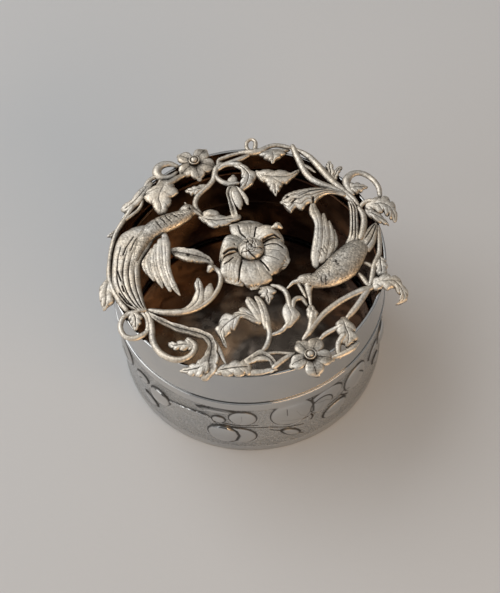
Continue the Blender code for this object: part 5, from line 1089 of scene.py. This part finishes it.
def blade(skin, rows, look):
    """A leaf, feather or petal between two edges, chased with its veins."""
    rows = np.array(rows)
    fine, far = drawn(rows, (rows[:, :2] + rows[:, 2:4]) / 2)
    left = spots(fine[:, 0], fine[:, 1], fine[:, 4])
    right = spots(fine[:, 2], fine[:, 3], fine[:, 4])
    path = (left + right) / 2
    along = np.linspace(0, 1, len(fine))
    blunt = 1 + look["blunt"] * ramp(along, *BLUNT_RAMP)
    half = (right - left) / 2 * (look["full"] * blunt)[:, None]
    wide = np.linalg.norm(half, axis=1)
    across = int(np.clip(2 * wide.max() / POINT_STEP, LEAST_ACROSS, MOST_ACROSS)) | 1
    reach = np.minimum(TIP_REACH_SHARE * wide, MOST_TIP) + JOIN_REACH / 2
    picks, thin, shifts = tips(path, reach[0], reach[-1])
    thin = thin[:, None]
    half_width = wide[picks][:, None]
    t = along[picks][:, None]
    even = np.linspace(-1, 1, across)
    s = ((1 - EDGE_PACK) * even + EDGE_PACK * np.sin(even * math.pi / 2))[None, :]

    share, lobe, vein = outline(look, s, t, far)
    cuts, puff = chasing(look, s, t, half_width, lobe, vein)
    crown = np.minimum(look["crown"], half_width * MOST_CROWN_SHARE)
    dome = crown * thin * np.maximum(1 - abs(s) ** look["round"], 0) ** 0.5
    dish = look["hollow"] * np.clip(1 - (s / HOLLOW_SHARE) ** 2, 0, 1)
    lip = look["lip"] * bell(abs(s) - LIP_AT_SHARE, LIP_HALF_SHARE)
    fade = thin * np.clip(np.minimum(t, 1 - t) / FADE_SPAN, FADE_LEAST, 1)
    cup = look["cup"] * ramp(t, *CUP_RAMP) ** 2 * thin
    comb = np.abs(np.cos(math.pi * look["teeth"] * (s + 1) / 2))
    bite = look["bite"] * (1 - comb) * ramp(t, *BITE_RAMP) ** 3

    ahead = directions(path)[picks]
    top = (path[picks] + shifts)[:, None, :] + half[picks][:, None, :] * (s * share * thin)[:, :, None]
    top = top - ahead[:, None, :] * bite[:, :, None]
    under = top[:, ::-1].copy()[:, 1:-1:2]
    low = s[:, ::-1][:, 1:-1:2]
    belly = EDGE_T * np.maximum(1 - abs(low) ** 4, 0) ** 0.5 * thin
    top[:, :, 2] += dome + (lip + puff - dish - cuts) * fade + cup + look["tilt"] * s * thin - crown
    under[:, :, 2] += look["tilt"] * low * thin + cup - crown - belly
    depth = (dish * DISH_SHADE + cuts) * fade / FULL_HOLLOW
    # painted shade: dishes and cut lines on top, and the whole underside, get a hollow value that darkens
    # them
    skin.add(
        np.concatenate([top, under], 1),
        np.concatenate([depth + 0 * s, np.full(under.shape[:2], UNDER_SHADE)], 1),
    )


def stem(skin, rows):
    """A cast stem, rounded above and flatter below."""
    rows = np.array(rows)
    fine, _ = drawn(rows, rows[:, :2])
    path = spots(fine[:, 0], fine[:, 1], fine[:, 2])
    wide = fine[:, 3] * LID_R * STEM_FULL
    picks, thin, shifts = tips(path, wide[0] + JOIN_REACH, wide[-1] + JOIN_REACH)
    side = unit(np.cross(directions(path), (0, 0, 1)))[picks]
    turns = np.linspace(0, math.tau, STEM_SIDES, endpoint=False)[None, :]
    rise = np.sin(turns)
    rise = np.where(rise < 0, rise * STEM_FLAT_SHARE, rise) * STEM_RISE_SHARE
    size = (wide[picks] * thin)[:, None]
    rings = (path[picks] + shifts)[:, None, :] + side[:, None, :] * (np.cos(turns) * size)[:, :, None]
    rings[:, :, 2] += rise * size
    # painted shade on the stem's underside
    skin.add(rings, np.clip(-np.sin(turns) * UNDER_GAIN, 0, UNDER_SHADE) + 0 * size)


def scales(across, along):
    """Overlapping rounded marks in staggered rows, one unit apart: 0 between them and 1 on them."""
    narrow, short, start, reach = BARB_SHAPE
    row = np.floor(along)
    x = to_whole(across + row / 2)
    return np.clip(reach - np.hypot(x * narrow, (along - row - start) * short), 0, 1)


def barbs(path, picks, turns, wide, pitch):
    """The rounded marks of a bird's feathers, over the places of its body."""
    if not pitch:
        return np.ones((len(picks), turns.shape[1]))
    gone = np.concatenate([[0], np.cumsum(np.linalg.norm(np.diff(path, axis=0), axis=1))])[picks][:, None]
    arc = (turns - math.pi / 2) * wide.max() * BARB_ARC
    sway = SWAY_ALONG[0] * np.sin(gone / pitch * SWAY_ALONG[1])
    sway = sway + SWAY_ROUND[0] * np.sin(arc / pitch * SWAY_ROUND[1] + 1)
    return scales(arc / pitch + sway, gone / pitch + sway)


def rounded_body(skin, rows, pitch, depth):
    """A bird's body or a small knob, domed, with its feathers as rows of rounded marks."""
    rows = np.array(rows)
    fine, _ = drawn(rows, rows[:, :2])
    path = spots(fine[:, 0], fine[:, 1], fine[:, 2])
    wide = fine[:, 3] * LID_R
    high = fine[:, 4] * LID_R
    picks, thin, shifts = tips(path, min(wide[0], MOST_TIP), min(wide[-1], MOST_TIP))
    side = unit(np.cross(directions(path), (0, 0, 1)))[picks]
    sides = int(np.clip(math.pi * wide.max() / POINT_STEP, LEAST_SIDES, MOST_SIDES))
    turns = np.linspace(0, math.tau, sides, endpoint=False)[None, :]
    wide_here = (wide[picks] * thin)[:, None]
    high_here = (high[picks] * thin)[:, None]
    mark = barbs(path, picks, turns, wide, pitch)
    up = np.clip(np.sin(turns) * 2, 0, 1)
    swell = 1 + (mark - 1) * depth * up / np.maximum(high_here, depth * 2)
    rise = np.where(np.sin(turns) < 0, np.sin(turns) * BODY_KEEL_SHARE, np.sin(turns))
    aside = np.cos(turns) * wide_here * swell
    rings = (path[picks] + shifts)[:, None, :] + side[:, None, :] * aside[:, :, None]
    rings[:, :, 2] += rise * high_here * swell
    # painted shade between the feather marks on top and on the underside
    skin.add(rings, (1 - mark) * up * BARB_SHADE + np.clip(-np.sin(turns), 0, UNDER_SHADE))


def scored(skin, marks):
    """Chased lines and dots, cut down into whatever lies under them, less so where it is hollow, and
    darkened with painted shade.
    """
    for path, half_width, deep in marks:
        for points, hollow_shades in zip(skin.points, skin.hollow_shades):
            x, y = points[:, 0] / LID_R, points[:, 1] / LID_R
            away = segment_distance(x, y, path)[0] * LID_R
            free = np.clip((UNDER_SHADE - hollow_shades) * SCORE_GAIN + 1, SCORE_LEAST, 1)
            cut = bell(away, half_width * LID_R) * free
            points[:, 2] -= cut * deep
            hollow_shades += cut * min(1.0, deep / MARK_SHADE)


def petals(name):
    """Rows of each petal of a small flower, from its root outwards."""
    if name not in FLORET_SHARES:
        return []
    x, y, level, shares = FLORET_SHARES[name]
    found = []
    for degrees, reach, half_width in shares:
        ahead = (math.cos(math.radians(degrees)), math.sin(math.radians(degrees)))
        rows = []
        for far, wide, drop in PETAL_SHARES:
            mid = (x + ahead[0] * reach * far, y + ahead[1] * reach * far)
            side = (-ahead[1] * half_width * wide, ahead[0] * half_width * wide)
            left, right = (mid[0] + side[0], mid[1] + side[1]), (mid[0] - side[0], mid[1] - side[1])
            rows.append(left + right + (level + drop,))
        found.append(rows)
    return found


def heart(skin):
    """The heart of the big flower: rounded lobes wound round one another."""
    far = np.linspace(1, HEART_END, HEART_ROWS)[:, None]
    angles = np.linspace(0, math.tau, HEART_AROUND, endpoint=False)[None, :]
    wound = HEART_LOBES * (angles + HEART_WIND * (1 - far)) / math.tau
    groove = bell(to_whole(wound) * far, HEART_GROOVE_W) * ramp(far, HEART_CORE, HEART_GROOVE_SPAN)
    turn = (angles + HEART_WIND) / math.tau % 1
    edge, sway, curl = HEART_SWIRL
    swirl = bell(far - edge + sway * np.cos(angles * 2), HEART_SWIRL_W)
    swirl = np.minimum(swirl + bell(far - sway - curl * turn, HEART_SWIRL_W), 1)
    lobes = np.abs(np.sin(wound * math.pi)) ** LOBE_POWER
    radius = HEART_R_SHARE * LID_R * far * (1 - HEART_WAVE + HEART_WAVE * lobes)
    dome = np.sqrt(np.clip(1 - HEART_DROP[0] * far ** HEART_DROP[1], 0, 1))
    lean = to_whole(wound) * ramp(far, HEART_CORE, HEART_FOLD_SPAN)
    lean = lean + HEART_LEAN[0] * np.cos(angles - HEART_LEAN[1]) * (far < edge)
    rise = HEART_H * (dome - HEART_CUT[0] * groove - HEART_CUT[1] * swirl) + HEART_TILT * lean
    x, y, z = HEART_X_SHARE * LID_R, HEART_Y_SHARE * LID_R, level_z(HEART_LEVEL)
    top = circles(angles, radius, z + rise, x, y)
    foot = top[:1].copy()
    foot[:, :, 2] = z - HEART_H / 3
    # painted shade in the heart's grooves and swirls
    dark = groove * HEART_SHADE[0] + swirl * HEART_SHADE[1]
    skin.add(np.concatenate([foot, top]), np.concatenate([0 * groove[:1], dark]))


def button(skin, x, y, level, radius):
    """The ringed button in the middle of a small flower."""
    far, rise, dark = (column[:, None] for column in np.array(BUTTON_RINGS).T)
    angles = np.linspace(0, math.tau, BUTTON_AROUND, endpoint=False)
    heights = level_z(level) + rise * BUTTON_H
    # painted shade in the button's ring groove and at its foot
    skin.add(circles(angles, far * radius * LID_R, heights, x * LID_R, y * LID_R), dark + 0 * angles)


def casting(name):
    """Every element of one casting in one skin."""
    skin = Skin()
    for rows in BODY_SHARES.get(name, ()):
        rounded_body(skin, rows, *BIRD_BARBS.get(name, (0.0, 0.0)))
    if name in BUTTON_SHARES:
        button(skin, *BUTTON_SHARES[name])
    looks = BLADE_LOOKS.get(name, ("leaf",))
    for i, rows in enumerate(BLADE_SHARES.get(name, ())):
        blade(skin, rows, {**PLAIN_LOOK, **LOOKS[looks[min(i, len(looks) - 1)]]})
    for rows in petals(name):
        blade(skin, rows, {**PLAIN_LOOK, **LOOKS["small_petal"]})
    for rows in STEM_SHARES.get(name, ()):
        stem(skin, rows)
    if name == "flower_heart":
        heart(skin)
    scored(skin, MARK_SHARES.get(name, ()))
    return skin


def turned(skin, profile, groove=None):
    """A closed profile of radius and height turned round the axis, with painted shade between the groove's
    heights.
    """
    angles = np.linspace(0, math.tau, AROUND, endpoint=False)[:, None]
    radii, heights = np.array(profile).T
    dark = np.zeros((AROUND, len(profile)))
    if groove:
        dark[:, (radii > radii.mean()) & (heights > groove[0]) & (heights < groove[1])] = 1.0
    skin.add(circles(angles, radii, heights), dark, closed=True)


def rounded_corner(x, z, radius, start, end, count):
    """Points of an arc in a profile."""
    turns = np.radians(np.linspace(start, end, count))
    return [(x + radius * math.cos(a), z + radius * math.sin(a)) for a in turns]


def dressed(skin, name, body, node, border, materials, box):
    """A turned piece with the first material outside the border radius and the second inside it."""
    obj = skin.piece(name, body, [node], materials, box)
    for face in obj.data.polygons:
        face.material_index = int(math.hypot(face.center.x, face.center.y) < border)
    return obj


def lid_band(materials, box):
    """The lid's plain band, with a thin rolled lip under a painted shade line."""
    foot = SEAM_Z + SEAM_GAP
    inner = LID_R - SHEET_T
    line = foot + 2 * EDGE_BEAD
    heights = np.linspace(line + SEAM_LINE, RIM_Z - EDGE_BEAD, BAND_STEPS)
    profile = [(inner, foot), (LID_R - EDGE_BEAD / 2, foot)]
    profile += rounded_corner(LID_R, foot + EDGE_BEAD, EDGE_BEAD * LIP_SHARE, -LIP_TURN, LIP_TURN, LIP_STEPS)
    profile += [(LID_R - SEAM_LINE / 3, line + SEAM_LINE * far) for far in SEAM_FAR_SHARES]
    profile += [(LID_R, z) for z in heights]
    profile += rounded_corner(LID_R - EDGE_BEAD, RIM_Z - EDGE_BEAD, EDGE_BEAD, 10, 90, CORNER_STEPS)
    profile += rounded_corner(inner + EDGE_BEAD, RIM_Z - EDGE_BEAD, EDGE_BEAD, 90, 180, CORNER_STEPS)
    profile += [(inner, z) for z in heights[::-1][1:]]
    skin = Skin()
    turned(skin, profile, (line, line + SEAM_LINE * SEAM_SHADE_SHARE))
    dressed(skin, "lid_band_polished", "lid", "lid_band", inner + EDGE_BEAD / 5, materials, box)


def bezel(materials, box):
    """The collar that the lid slips over, with a rounded top edge."""
    outer = BODY_R - SHEET_T - SEAM_GAP
    turn = BEZEL_T / 2
    heights = np.linspace(SEAM_Z - BEZEL_DROP, SEAM_Z + BEZEL_RISE - turn, COLLAR_STEPS)
    profile = [(outer, z) for z in heights]
    profile += rounded_corner(outer - turn, heights[-1], turn, 15, 165, LIP_STEPS)
    profile += [(outer - BEZEL_T, z) for z in heights[::-1]]
    skin = Skin()
    turned(skin, profile)
    dressed(skin, "bezel_painted_glow", "body", "body_bezel", outer - BEZEL_T / 2, materials, box)


def floor_plate(material, box):
    """The round floor of the box."""
    outer = BODY_R - SHEET_T - SEAM_GAP
    radii = np.linspace(outer, outer / 10, FLOOR_RINGS)
    profile = [(r, 0.0) for r in radii[::-1]] + [(r, FLOOR_T) for r in radii]
    angles = np.linspace(0, math.tau, FLOOR_AROUND, endpoint=False)
    rings = circles(angles, *(column[:, None] for column in np.array(profile).T))
    skin = Skin()
    skin.add(rings, np.zeros(rings.shape[:2]))
    skin.piece("floor_painted_glow", "body", ["body_floor"], [material], box)


def segment_distance(u, w, path):
    """How far grid points lie from a line through the path's points, and how far along it they are."""
    if len(path) == 1:
        return np.hypot(u - path[0][0], w - path[0][1]), np.zeros(u.shape)
    best = np.full(u.shape, np.inf)
    along = np.zeros(u.shape)
    gone = 0.0
    for (ax, ay), (bx, by) in zip(path, path[1:]):
        dx, dy = bx - ax, by - ay
        size = math.hypot(dx, dy)
        part = np.clip(((u - ax) * dx + (w - ay) * dy) / size**2, 0, 1)
        away = np.hypot(u - ax - dx * part, w - ay - dy * part)
        along = np.where(away < best, gone + part * size, along)
        best = np.minimum(best, away)
        gone += size
    return best, along


class Relief:
    """Height over the plain wall, painted shade lines and plain silver of the chased band, on a grid of
    places.
    """

    def __init__(self, degrees, share):
        self.degrees = degrees
        self.up = share * SEAM_Z / LID_R
        self.height = np.full(share.shape, -GROUND_SINK)
        self.hollow = np.zeros(share.shape)
        self.cover = np.zeros(share.shape)

    def around(self, middle):
        """Radians from the nearest repeat of a place round the wall."""
        span = 360 / PATTERN_REPEATS
        return np.radians((self.degrees - middle + span / 2) % span - span / 2)

    def distance(self, middle, path):
        """How far each place lies from a line on the wall, and how far along it."""
        places = [(math.radians(a - middle), z) for a, z in path]
        return segment_distance(self.around(middle), self.up, places)

    def raise_to(self, tall, form):
        """Height wherever a form of this share of the full height stands over what is there."""
        self.height = np.maximum(self.height, tall * form * CHASE_H - GROUND_SINK * (1 - form))

    def boss(self, middle, z, half_degrees, half_up, lean, tall, flat):
        """A rounded boss with a painted shade line round it."""
        half_turn = math.radians(half_degrees)
        u, w = self.around(middle), self.up - z
        c, s = math.cos(math.radians(lean)), math.sin(math.radians(lean))
        away = np.hypot((u * c + w * s) / half_turn, (w * c - u * s) / half_up)
        self.raise_to(tall, np.sqrt(np.clip(1 - away**flat, 0, 1)))
        line = bell((away - 1) * min(half_turn, half_up), LINE_SHARE)
        self.hollow = np.maximum(self.hollow * (away > 1), line)
        self.cover = np.maximum(self.cover, np.clip((BOSS_COVER[0] - away) * BOSS_COVER[1], 0, 1))

    def beaded_stem(self, middle, path, half_width, tall):
        """A raised stem with a row of beads and a painted shade line on both sides."""
        away, along = self.distance(middle, path)
        bead = 1 - BEAD_DEPTH + BEAD_DEPTH * np.cos(along / STEM_BEADS * math.tau)
        form = np.sqrt(np.clip(1 - (away / half_width) ** 2, 0, 1))
        self.raise_to(tall * bead, form)
        beside = np.maximum(self.hollow, bell(away - half_width, LINE_SHARE))
        self.hollow = np.where(away < half_width * STEM_TOP_SHARE, self.hollow * STEM_TOP_DARK, beside)
        cover = np.clip((STEM_COVER[0] - away / half_width) * STEM_COVER[1], 0, 1)
        self.cover = np.maximum(self.cover, cover)

    def line(self, middle, path, half_width, deep):
        """A cut line, with painted shade as dark as it is deep."""
        cut = bell(self.distance(middle, path)[0], half_width)
        self.height -= deep * cut * CHASE_H * CUT_SINK
        self.hollow = np.maximum(self.hollow, cut * deep * CUT_SHADE)


def chased_relief(degrees, share):
    """Height, painted shade and matting of the chased band between its plain borders."""
    low, low_in, high_in, high = BAND_SHARES
    inside = np.clip(np.minimum((share - low) / (low_in - low), (high - share) / (high - high_in)), 0, 1)
    relief = Relief(degrees, share)
    for row in PAD_SHARES:
        relief.boss(*row)
    for row in RAISED_SHARES:
        relief.beaded_stem(*row)
    for row in CUT_SHARES:
        relief.line(*row)
    return relief.height * inside, np.clip(relief.hollow, 0, 1) * inside, inside * (1 - relief.cover)


def body_wall(materials, box):
    """The sheet wall, chased outside and plain inside."""
    inner = BODY_R - SHEET_T
    degrees = np.linspace(0, 360, BAND_AROUND, endpoint=False)[:, None]
    rows = np.linspace(EDGE_TURN, SEAM_Z - EDGE_TURN, BAND_ROWS)[None, :]
    height, hollow, matt = chased_relief(degrees + 0 * rows, rows / SEAM_Z + 0 * degrees)
    low = [(BODY_R - EDGE_TURN / 2, 0.0), (BODY_R - EDGE_TURN / 8, EDGE_TURN / 4)]
    rest = [(BODY_R - EDGE_TURN / 8, SEAM_Z - EDGE_TURN / 4), (BODY_R - EDGE_TURN / 2, SEAM_Z)]
    rest += [(inner, z) for z in np.linspace(SEAM_Z, 0, INSIDE_ROWS)]
    low_r, low_z = (np.tile(column, (BAND_AROUND, 1)) for column in np.array(low).T)
    rest_r, rest_z = (np.tile(column, (BAND_AROUND, 1)) for column in np.array(rest).T)
    radii = np.concatenate([low_r, BODY_R + height, rest_r], 1)
    heights = np.concatenate([low_z, rows + 0 * degrees, rest_z], 1)
    plain = ((0, 0), (len(low), len(rest)))
    skin = Skin()
    skin.add(circles(np.radians(degrees), radii, heights), np.pad(hollow, plain), closed=True)
    obj = dressed(skin, "wall_chased", "body", "body_wall", inner + SHEET_T / 3, materials, box)
    put_values(obj.data, "matt", np.pad(matt, plain))


class Nodes:
    """Short ways to add and join the nodes of a material or of the world."""

    def __init__(self, tree):
        self.tree = tree
        self.tree.nodes.clear()
        self.out = None

    def add(self, kind, **settings):
        node = self.tree.nodes.new(kind)
        for key, value in settings.items():
            setattr(node, key, value)
        return node

    def link(self, source, target):
        self.tree.links.new(source, target)

    def put(self, socket, value):
        """A link where the value is a socket, and a setting where it is a number or a colour."""
        if isinstance(value, bpy.types.NodeSocket):
            self.link(value, socket)
        else:
            socket.default_value = value

    def math(self, operation, a, b=0.0, clamp=False):
        node = self.add("ShaderNodeMath", operation=operation, use_clamp=clamp)
        self.put(node.inputs[0], a)
        self.put(node.inputs[1], b)
        return node.outputs[0]

    def mix(self, share, a, b):
        node = self.add("ShaderNodeMix", data_type="RGBA")
        self.put(node.inputs[0], share)
        self.put(node.inputs[6], a)
        self.put(node.inputs[7], b)
        return node.outputs[2]

    def spread(self, value, low, high, to_low=0.0, to_high=1.0):
        node = self.add("ShaderNodeMapRange", clamp=True)
        self.put(node.inputs[0], value)
        for k, number in enumerate((low, high, to_low, to_high)):
            node.inputs[k + 1].default_value = number
        return node.outputs[0]

    def attribute(self, name):
        return self.add("ShaderNodeAttribute", attribute_name=name).outputs["Fac"]

    def camera_ray(self):
        return self.add("ShaderNodeLightPath").outputs["Is Camera Ray"]

    def place(self):
        return self.add("ShaderNodeTexCoord").outputs["Object"]

    def stretched(self, stretch):
        if stretch is None:
            return self.place()
        mapping = self.add("ShaderNodeMapping")
        mapping.inputs["Scale"].default_value = stretch
        self.link(self.place(), mapping.inputs["Vector"])
        return mapping.outputs[0]

    def texture(self, kind, scale, stretch):
        node = self.add(kind)
        self.link(self.stretched(stretch), node.inputs["Vector"])
        node.inputs["Scale"].default_value = scale
        return node

    def noise(self, scale, detail=3.0, stretch=None):
        node = self.texture("ShaderNodeTexNoise", scale, stretch)
        node.inputs["Detail"].default_value = detail
        return node.outputs[0]

    def cells(self, scale, stretch=None):
        return self.texture("ShaderNodeTexVoronoi", scale, stretch).outputs["Distance"]

    def bump(self, height, distance, strength, before=None):
        node = self.add("ShaderNodeBump")
        node.inputs["Strength"].default_value = strength
        node.inputs["Distance"].default_value = distance
        self.link(height, node.inputs["Height"])
        if before is not None:
            self.link(before, node.inputs["Normal"])
        return node.outputs[0]

    def shader(self, colour, metallic, roughness, normal):
        node = self.add("ShaderNodeBsdfPrincipled")
        self.put(node.inputs["Base Color"], colour)
        self.put(node.inputs["Metallic"], metallic)
        self.put(node.inputs["Roughness"], roughness)
        self.link(normal, node.inputs["Normal"])
        self.out = self.add("ShaderNodeOutputMaterial")
        self.link(node.outputs[0], self.out.inputs["Surface"])
        return node

    def over(self, share, under, above):
        """Two shaders mixed into the output."""
        both = self.add("ShaderNodeMixShader")
        self.link(share, both.inputs[0])
        self.link(under, both.inputs[1])
        self.link(above, both.inputs[2])
        if self.out is None:
            self.out = self.add("ShaderNodeOutputWorld")
        self.link(both.outputs[0], self.out.inputs["Surface"])


def new_material(name):
    material = bpy.data.materials.new(name)
    material.use_nodes = True
    return material, Nodes(material.node_tree)


def cast_silver(name, stippled=False):
    """Silver with painted shade in its recesses, grooves and undersides, standing also for oxide there, left
    bright on top and unevenly rubbed.
    """
    material, n = new_material(name)
    # painted shade: ambient occlusion darkens the colour where recesses and nearby pieces shut out the light
    shade = n.add("ShaderNodeAmbientOcclusion", samples=SHADE_SAMPLES)
    shade.inputs["Distance"].default_value = SHADE_REACH
    closed = n.spread(shade.outputs["AO"], *SHADE_SPAN)
    # painted shade, standing also for oxide: the hollow attribute darkens grooves, dishes and undersides
    painted_hollow_shade = n.math("MULTIPLY", n.spread(n.attribute("hollow"), *HOLLOW_SPAN), HOLLOW_SHADE_SHARE)
    wide, fine = (n.spread(n.noise(scale), *MIDDLE_SPAN, PATCH_LEAST, most) for scale, most in PATCHES)
    dark = n.math("ADD", n.math("ADD", painted_hollow_shade, closed), n.math("ADD", wide, fine), clamp=True)
    normal = n.bump(n.noise(*GRAIN), GRAIN_H, GRAIN_STRENGTH)
    if stippled:
        dots = n.spread(n.cells(DOT_PITCH), *DOT_SPAN)
        dots = n.math("MULTIPLY", dots, n.spread(n.noise(DOT_PATCHES), *DOT_PATCH_SPAN))
        normal = n.bump(n.math("SUBTRACT", 1.0, dots), DOT_H, DOT_STRENGTH, before=normal)
        dark = n.math("ADD", dark, n.math("MULTIPLY", dots, DOT_DARK), clamp=True)
    tone = n.mix(n.spread(n.noise(CAST_TONES), *MIDDLE_SPAN), CAST_COOL, CAST_WARM)
    rub_scale, rub_span = CAST_RUB
    rough = n.spread(dark, *CAST_DARK_SPAN, CAST_ROUGH, CAST_DARK_ROUGH)
    rough = n.math("ADD", rough, n.spread(n.noise(rub_scale), *rub_span))
    n.shader(n.mix(dark, tone, CAST_SHADE_AND_MOTTLE), n.spread(dark, *CAST_METAL_SPAN), rough, normal)
    return material


def sheet_tone(n):
    return n.mix(n.spread(n.noise(SHEET_TONES), *MIDDLE_SPAN), SHEET_COOL, SHEET_WARM)


def polished_silver(name):
    """Plain sheet, polished and finely scratched, with painted shade in its groove."""
    material, n = new_material(name)
    colour = n.mix(n.attribute("hollow"), sheet_tone(n), CHASE_SHADE_AND_MATT)
    rough = n.math("ADD", n.spread(n.noise(*SHEET_RUB), *SHEET_RUB_SPAN), SHEET_ROUGH)
    dents = n.bump(n.noise(*DENTS), *DENT_BUMP)
    n.shader(colour, 1.0, rough, n.bump(n.noise(*SCRATCHES), *SCRATCH_BUMP, before=dents))
    return material


def chased_silver(name):
    """The chased wall: polished bosses, outlines of painted shade and a matted ground."""
    material, n = new_material(name)
    matt = n.attribute("matt")
    dark = n.math("MULTIPLY", n.spread(n.attribute("hollow"), *CHASE_SPAN), CHASE_SHARE)
    cells = n.cells(DASH_PITCH, DASHES)
    pits = n.math("SUBTRACT", 1.0, n.spread(cells, *DASH_SPAN))
    dark = n.math("ADD", dark, n.math("MULTIPLY", n.math("MULTIPLY", matt, MATT_DARK), pits), clamp=True)
    rough = n.spread(dark, 0.0, 1.0, SHEET_ROUGH, CHASE_ROUGH)
    rough = n.math("ADD", n.math("MULTIPLY", matt, MATT_ROUGH), rough)
    dents = n.bump(n.noise(*WALL_DENTS), *WALL_DENT_BUMP)
    normal = n.bump(n.math("MULTIPLY", cells, matt), *DASH_BUMP, before=dents)
    n.shader(n.mix(dark, sheet_tone(n), CHASE_SHADE_AND_MATT), 1.0, rough, normal)
    return material


def gilt_wear_and_painted_glow(name, light, deep, rough_base):
    """The inside: a gilt wash worn in patches and browned, with a painted glow that leaves the left (-x)
    side light and the right side dark.
    """
    material, n = new_material(name)
    split = n.add("ShaderNodeSeparateXYZ")
    n.link(n.place(), split.inputs[0])
    edge_scale, edge_span = GLOW_SIDE_EDGE
    # painted light: the side term lightens the left side as if lit and darkens the right side
    side = n.spread(n.math("ADD", split.outputs[0], n.spread(n.noise(edge_scale), *edge_span)), *GLOW_SIDE_SPAN)
    worn = n.math("ADD", n.spread(n.noise(*WORN_PATCHES), *WORN_PATCH_SPAN), side, clamp=True)
    rough = n.math("ADD", n.spread(n.noise(*WORN_RUB), *WORN_RUB_SPAN), rough_base)
    n.shader(n.mix(worn, light, deep), 1.0, rough, n.bump(n.noise(*WORN_DENTS), *WORN_DENT_BUMP))
    return material


def facing(place, aim, roll=0.0):
    """A matrix that stands something at a place and turns it to its aim."""
    turn = (Vector(aim) - Vector(place)).to_track_quat("-Z", "Y").to_matrix().to_4x4()
    return Matrix.Translation(Vector(place)) @ turn @ Matrix.Rotation(roll, 4, "Z")


def camera():
    data = bpy.data.cameras.new("camera")
    data.lens = CAMERA_LENS
    data.sensor_width = CAMERA_SENSOR
    obj = shown("camera", data)
    obj.matrix_world = facing(CAMERA_AT, CAMERA_AIM, CAMERA_ROLL)
    bpy.context.scene.camera = obj


def lamp(name, place, width, depth, power, colour):
    data = bpy.data.lights.new(name, "AREA")
    data.shape = "RECTANGLE"
    data.size = width
    data.size_y = depth
    data.energy = power
    data.color = colour
    shown(name, data).matrix_world = facing(place, LAMP_AIM)


def tabletop():
    """The pale floor, which goes over into the backdrop far from the box."""
    mesh = bpy.data.meshes.new("table")
    far = TABLE_HALF
    mesh.from_pydata([(-far, -far, 0), (far, -far, 0), (far, far, 0), (-far, far, 0)], [], [(0, 1, 2, 3)])
    table = shown("table", mesh)
    table.location.z = -TABLE_DROP
    material, n = new_material("table")
    cloth = n.shader(TABLE_COLOUR, 0.0, TABLE_ROUGH, n.bump(n.noise(TABLE_GRAIN), *TABLE_BUMP))
    away = n.add("ShaderNodeVectorMath", operation="LENGTH")
    n.link(n.place(), away.inputs[0])
    faded = n.math("MULTIPLY", n.spread(away.outputs["Value"], *TABLE_FADE), n.camera_ray())
    glow = n.add("ShaderNodeEmission")
    glow.inputs[0].default_value = BACKDROP
    n.over(faded, cloth.outputs[0], glow.outputs[0])
    mesh.materials.append(material)


def room():
    """A plain room for the silver to mirror, dark low down and light above."""
    world = bpy.data.worlds.new("room")
    bpy.context.scene.world = world
    world.use_nodes = True
    n = Nodes(world.node_tree)
    split = n.add("ShaderNodeSeparateXYZ")
    n.link(n.add("ShaderNodeTexCoord").outputs["Generated"], split.inputs[0])
    ramp_node = n.add("ShaderNodeValToRGB")
    n.link(n.spread(split.outputs[2], *ROOM_SPAN), ramp_node.inputs[0])
    elements = ramp_node.color_ramp.elements
    elements.remove(elements[1])
    for k, (at, colour) in enumerate(ROOM_TONES):
        element = elements[0] if k == 0 else elements.new(at)
        element.position = at
        element.color = colour
    back = n.add("ShaderNodeBackground")
    n.link(ramp_node.outputs[0], back.inputs[0])
    back.inputs[1].default_value = ROOM_STRENGTH
    seen = n.add("ShaderNodeBackground")
    seen.inputs[0].default_value = BACKDROP
    n.over(n.camera_ray(), back.outputs[0], seen.outputs[0])


def studio():
    """A pale floor, soft lamps and a plain room."""
    tabletop()
    for row in LAMPS:
        lamp(*row)
    room()
    bpy.context.scene.view_settings.view_transform = "Standard"


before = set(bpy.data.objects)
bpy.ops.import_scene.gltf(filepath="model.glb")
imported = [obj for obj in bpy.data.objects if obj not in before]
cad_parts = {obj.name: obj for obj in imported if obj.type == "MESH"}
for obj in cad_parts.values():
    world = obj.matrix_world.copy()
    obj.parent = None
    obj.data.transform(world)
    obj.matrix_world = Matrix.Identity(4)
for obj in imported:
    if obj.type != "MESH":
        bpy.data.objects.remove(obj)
cad_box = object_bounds()
camera()
studio()
cast = cast_silver("cast_silver")
feathered = cast_silver("feathered_silver", True)
sheet = polished_silver("polished_silver")
gilt = gilt_wear_and_painted_glow("gilt_wear_and_painted_glow", GILT_LIGHT, GILT_DEEP, GILT_ROUGH)
plate = gilt_wear_and_painted_glow("floor_wear_and_painted_glow", FLOOR_LIGHT, FLOOR_DEEP, FLOOR_ROUGH)
collar = gilt_wear_and_painted_glow("collar_wear_and_painted_glow", GILT_LIGHT, GILT_DEEP, COLLAR_ROUGH)
for node in TOP_DOWN:
    metal = feathered if node in FEATHERED else cast
    casting(node).piece(node + "_cast", "lid", [node], [metal], cad_box)
lid_band([sheet, gilt], cad_box)
bezel([sheet, collar], cad_box)
body_wall([chased_silver("chased_silver"), gilt], cad_box)
floor_plate(plate, cad_box)
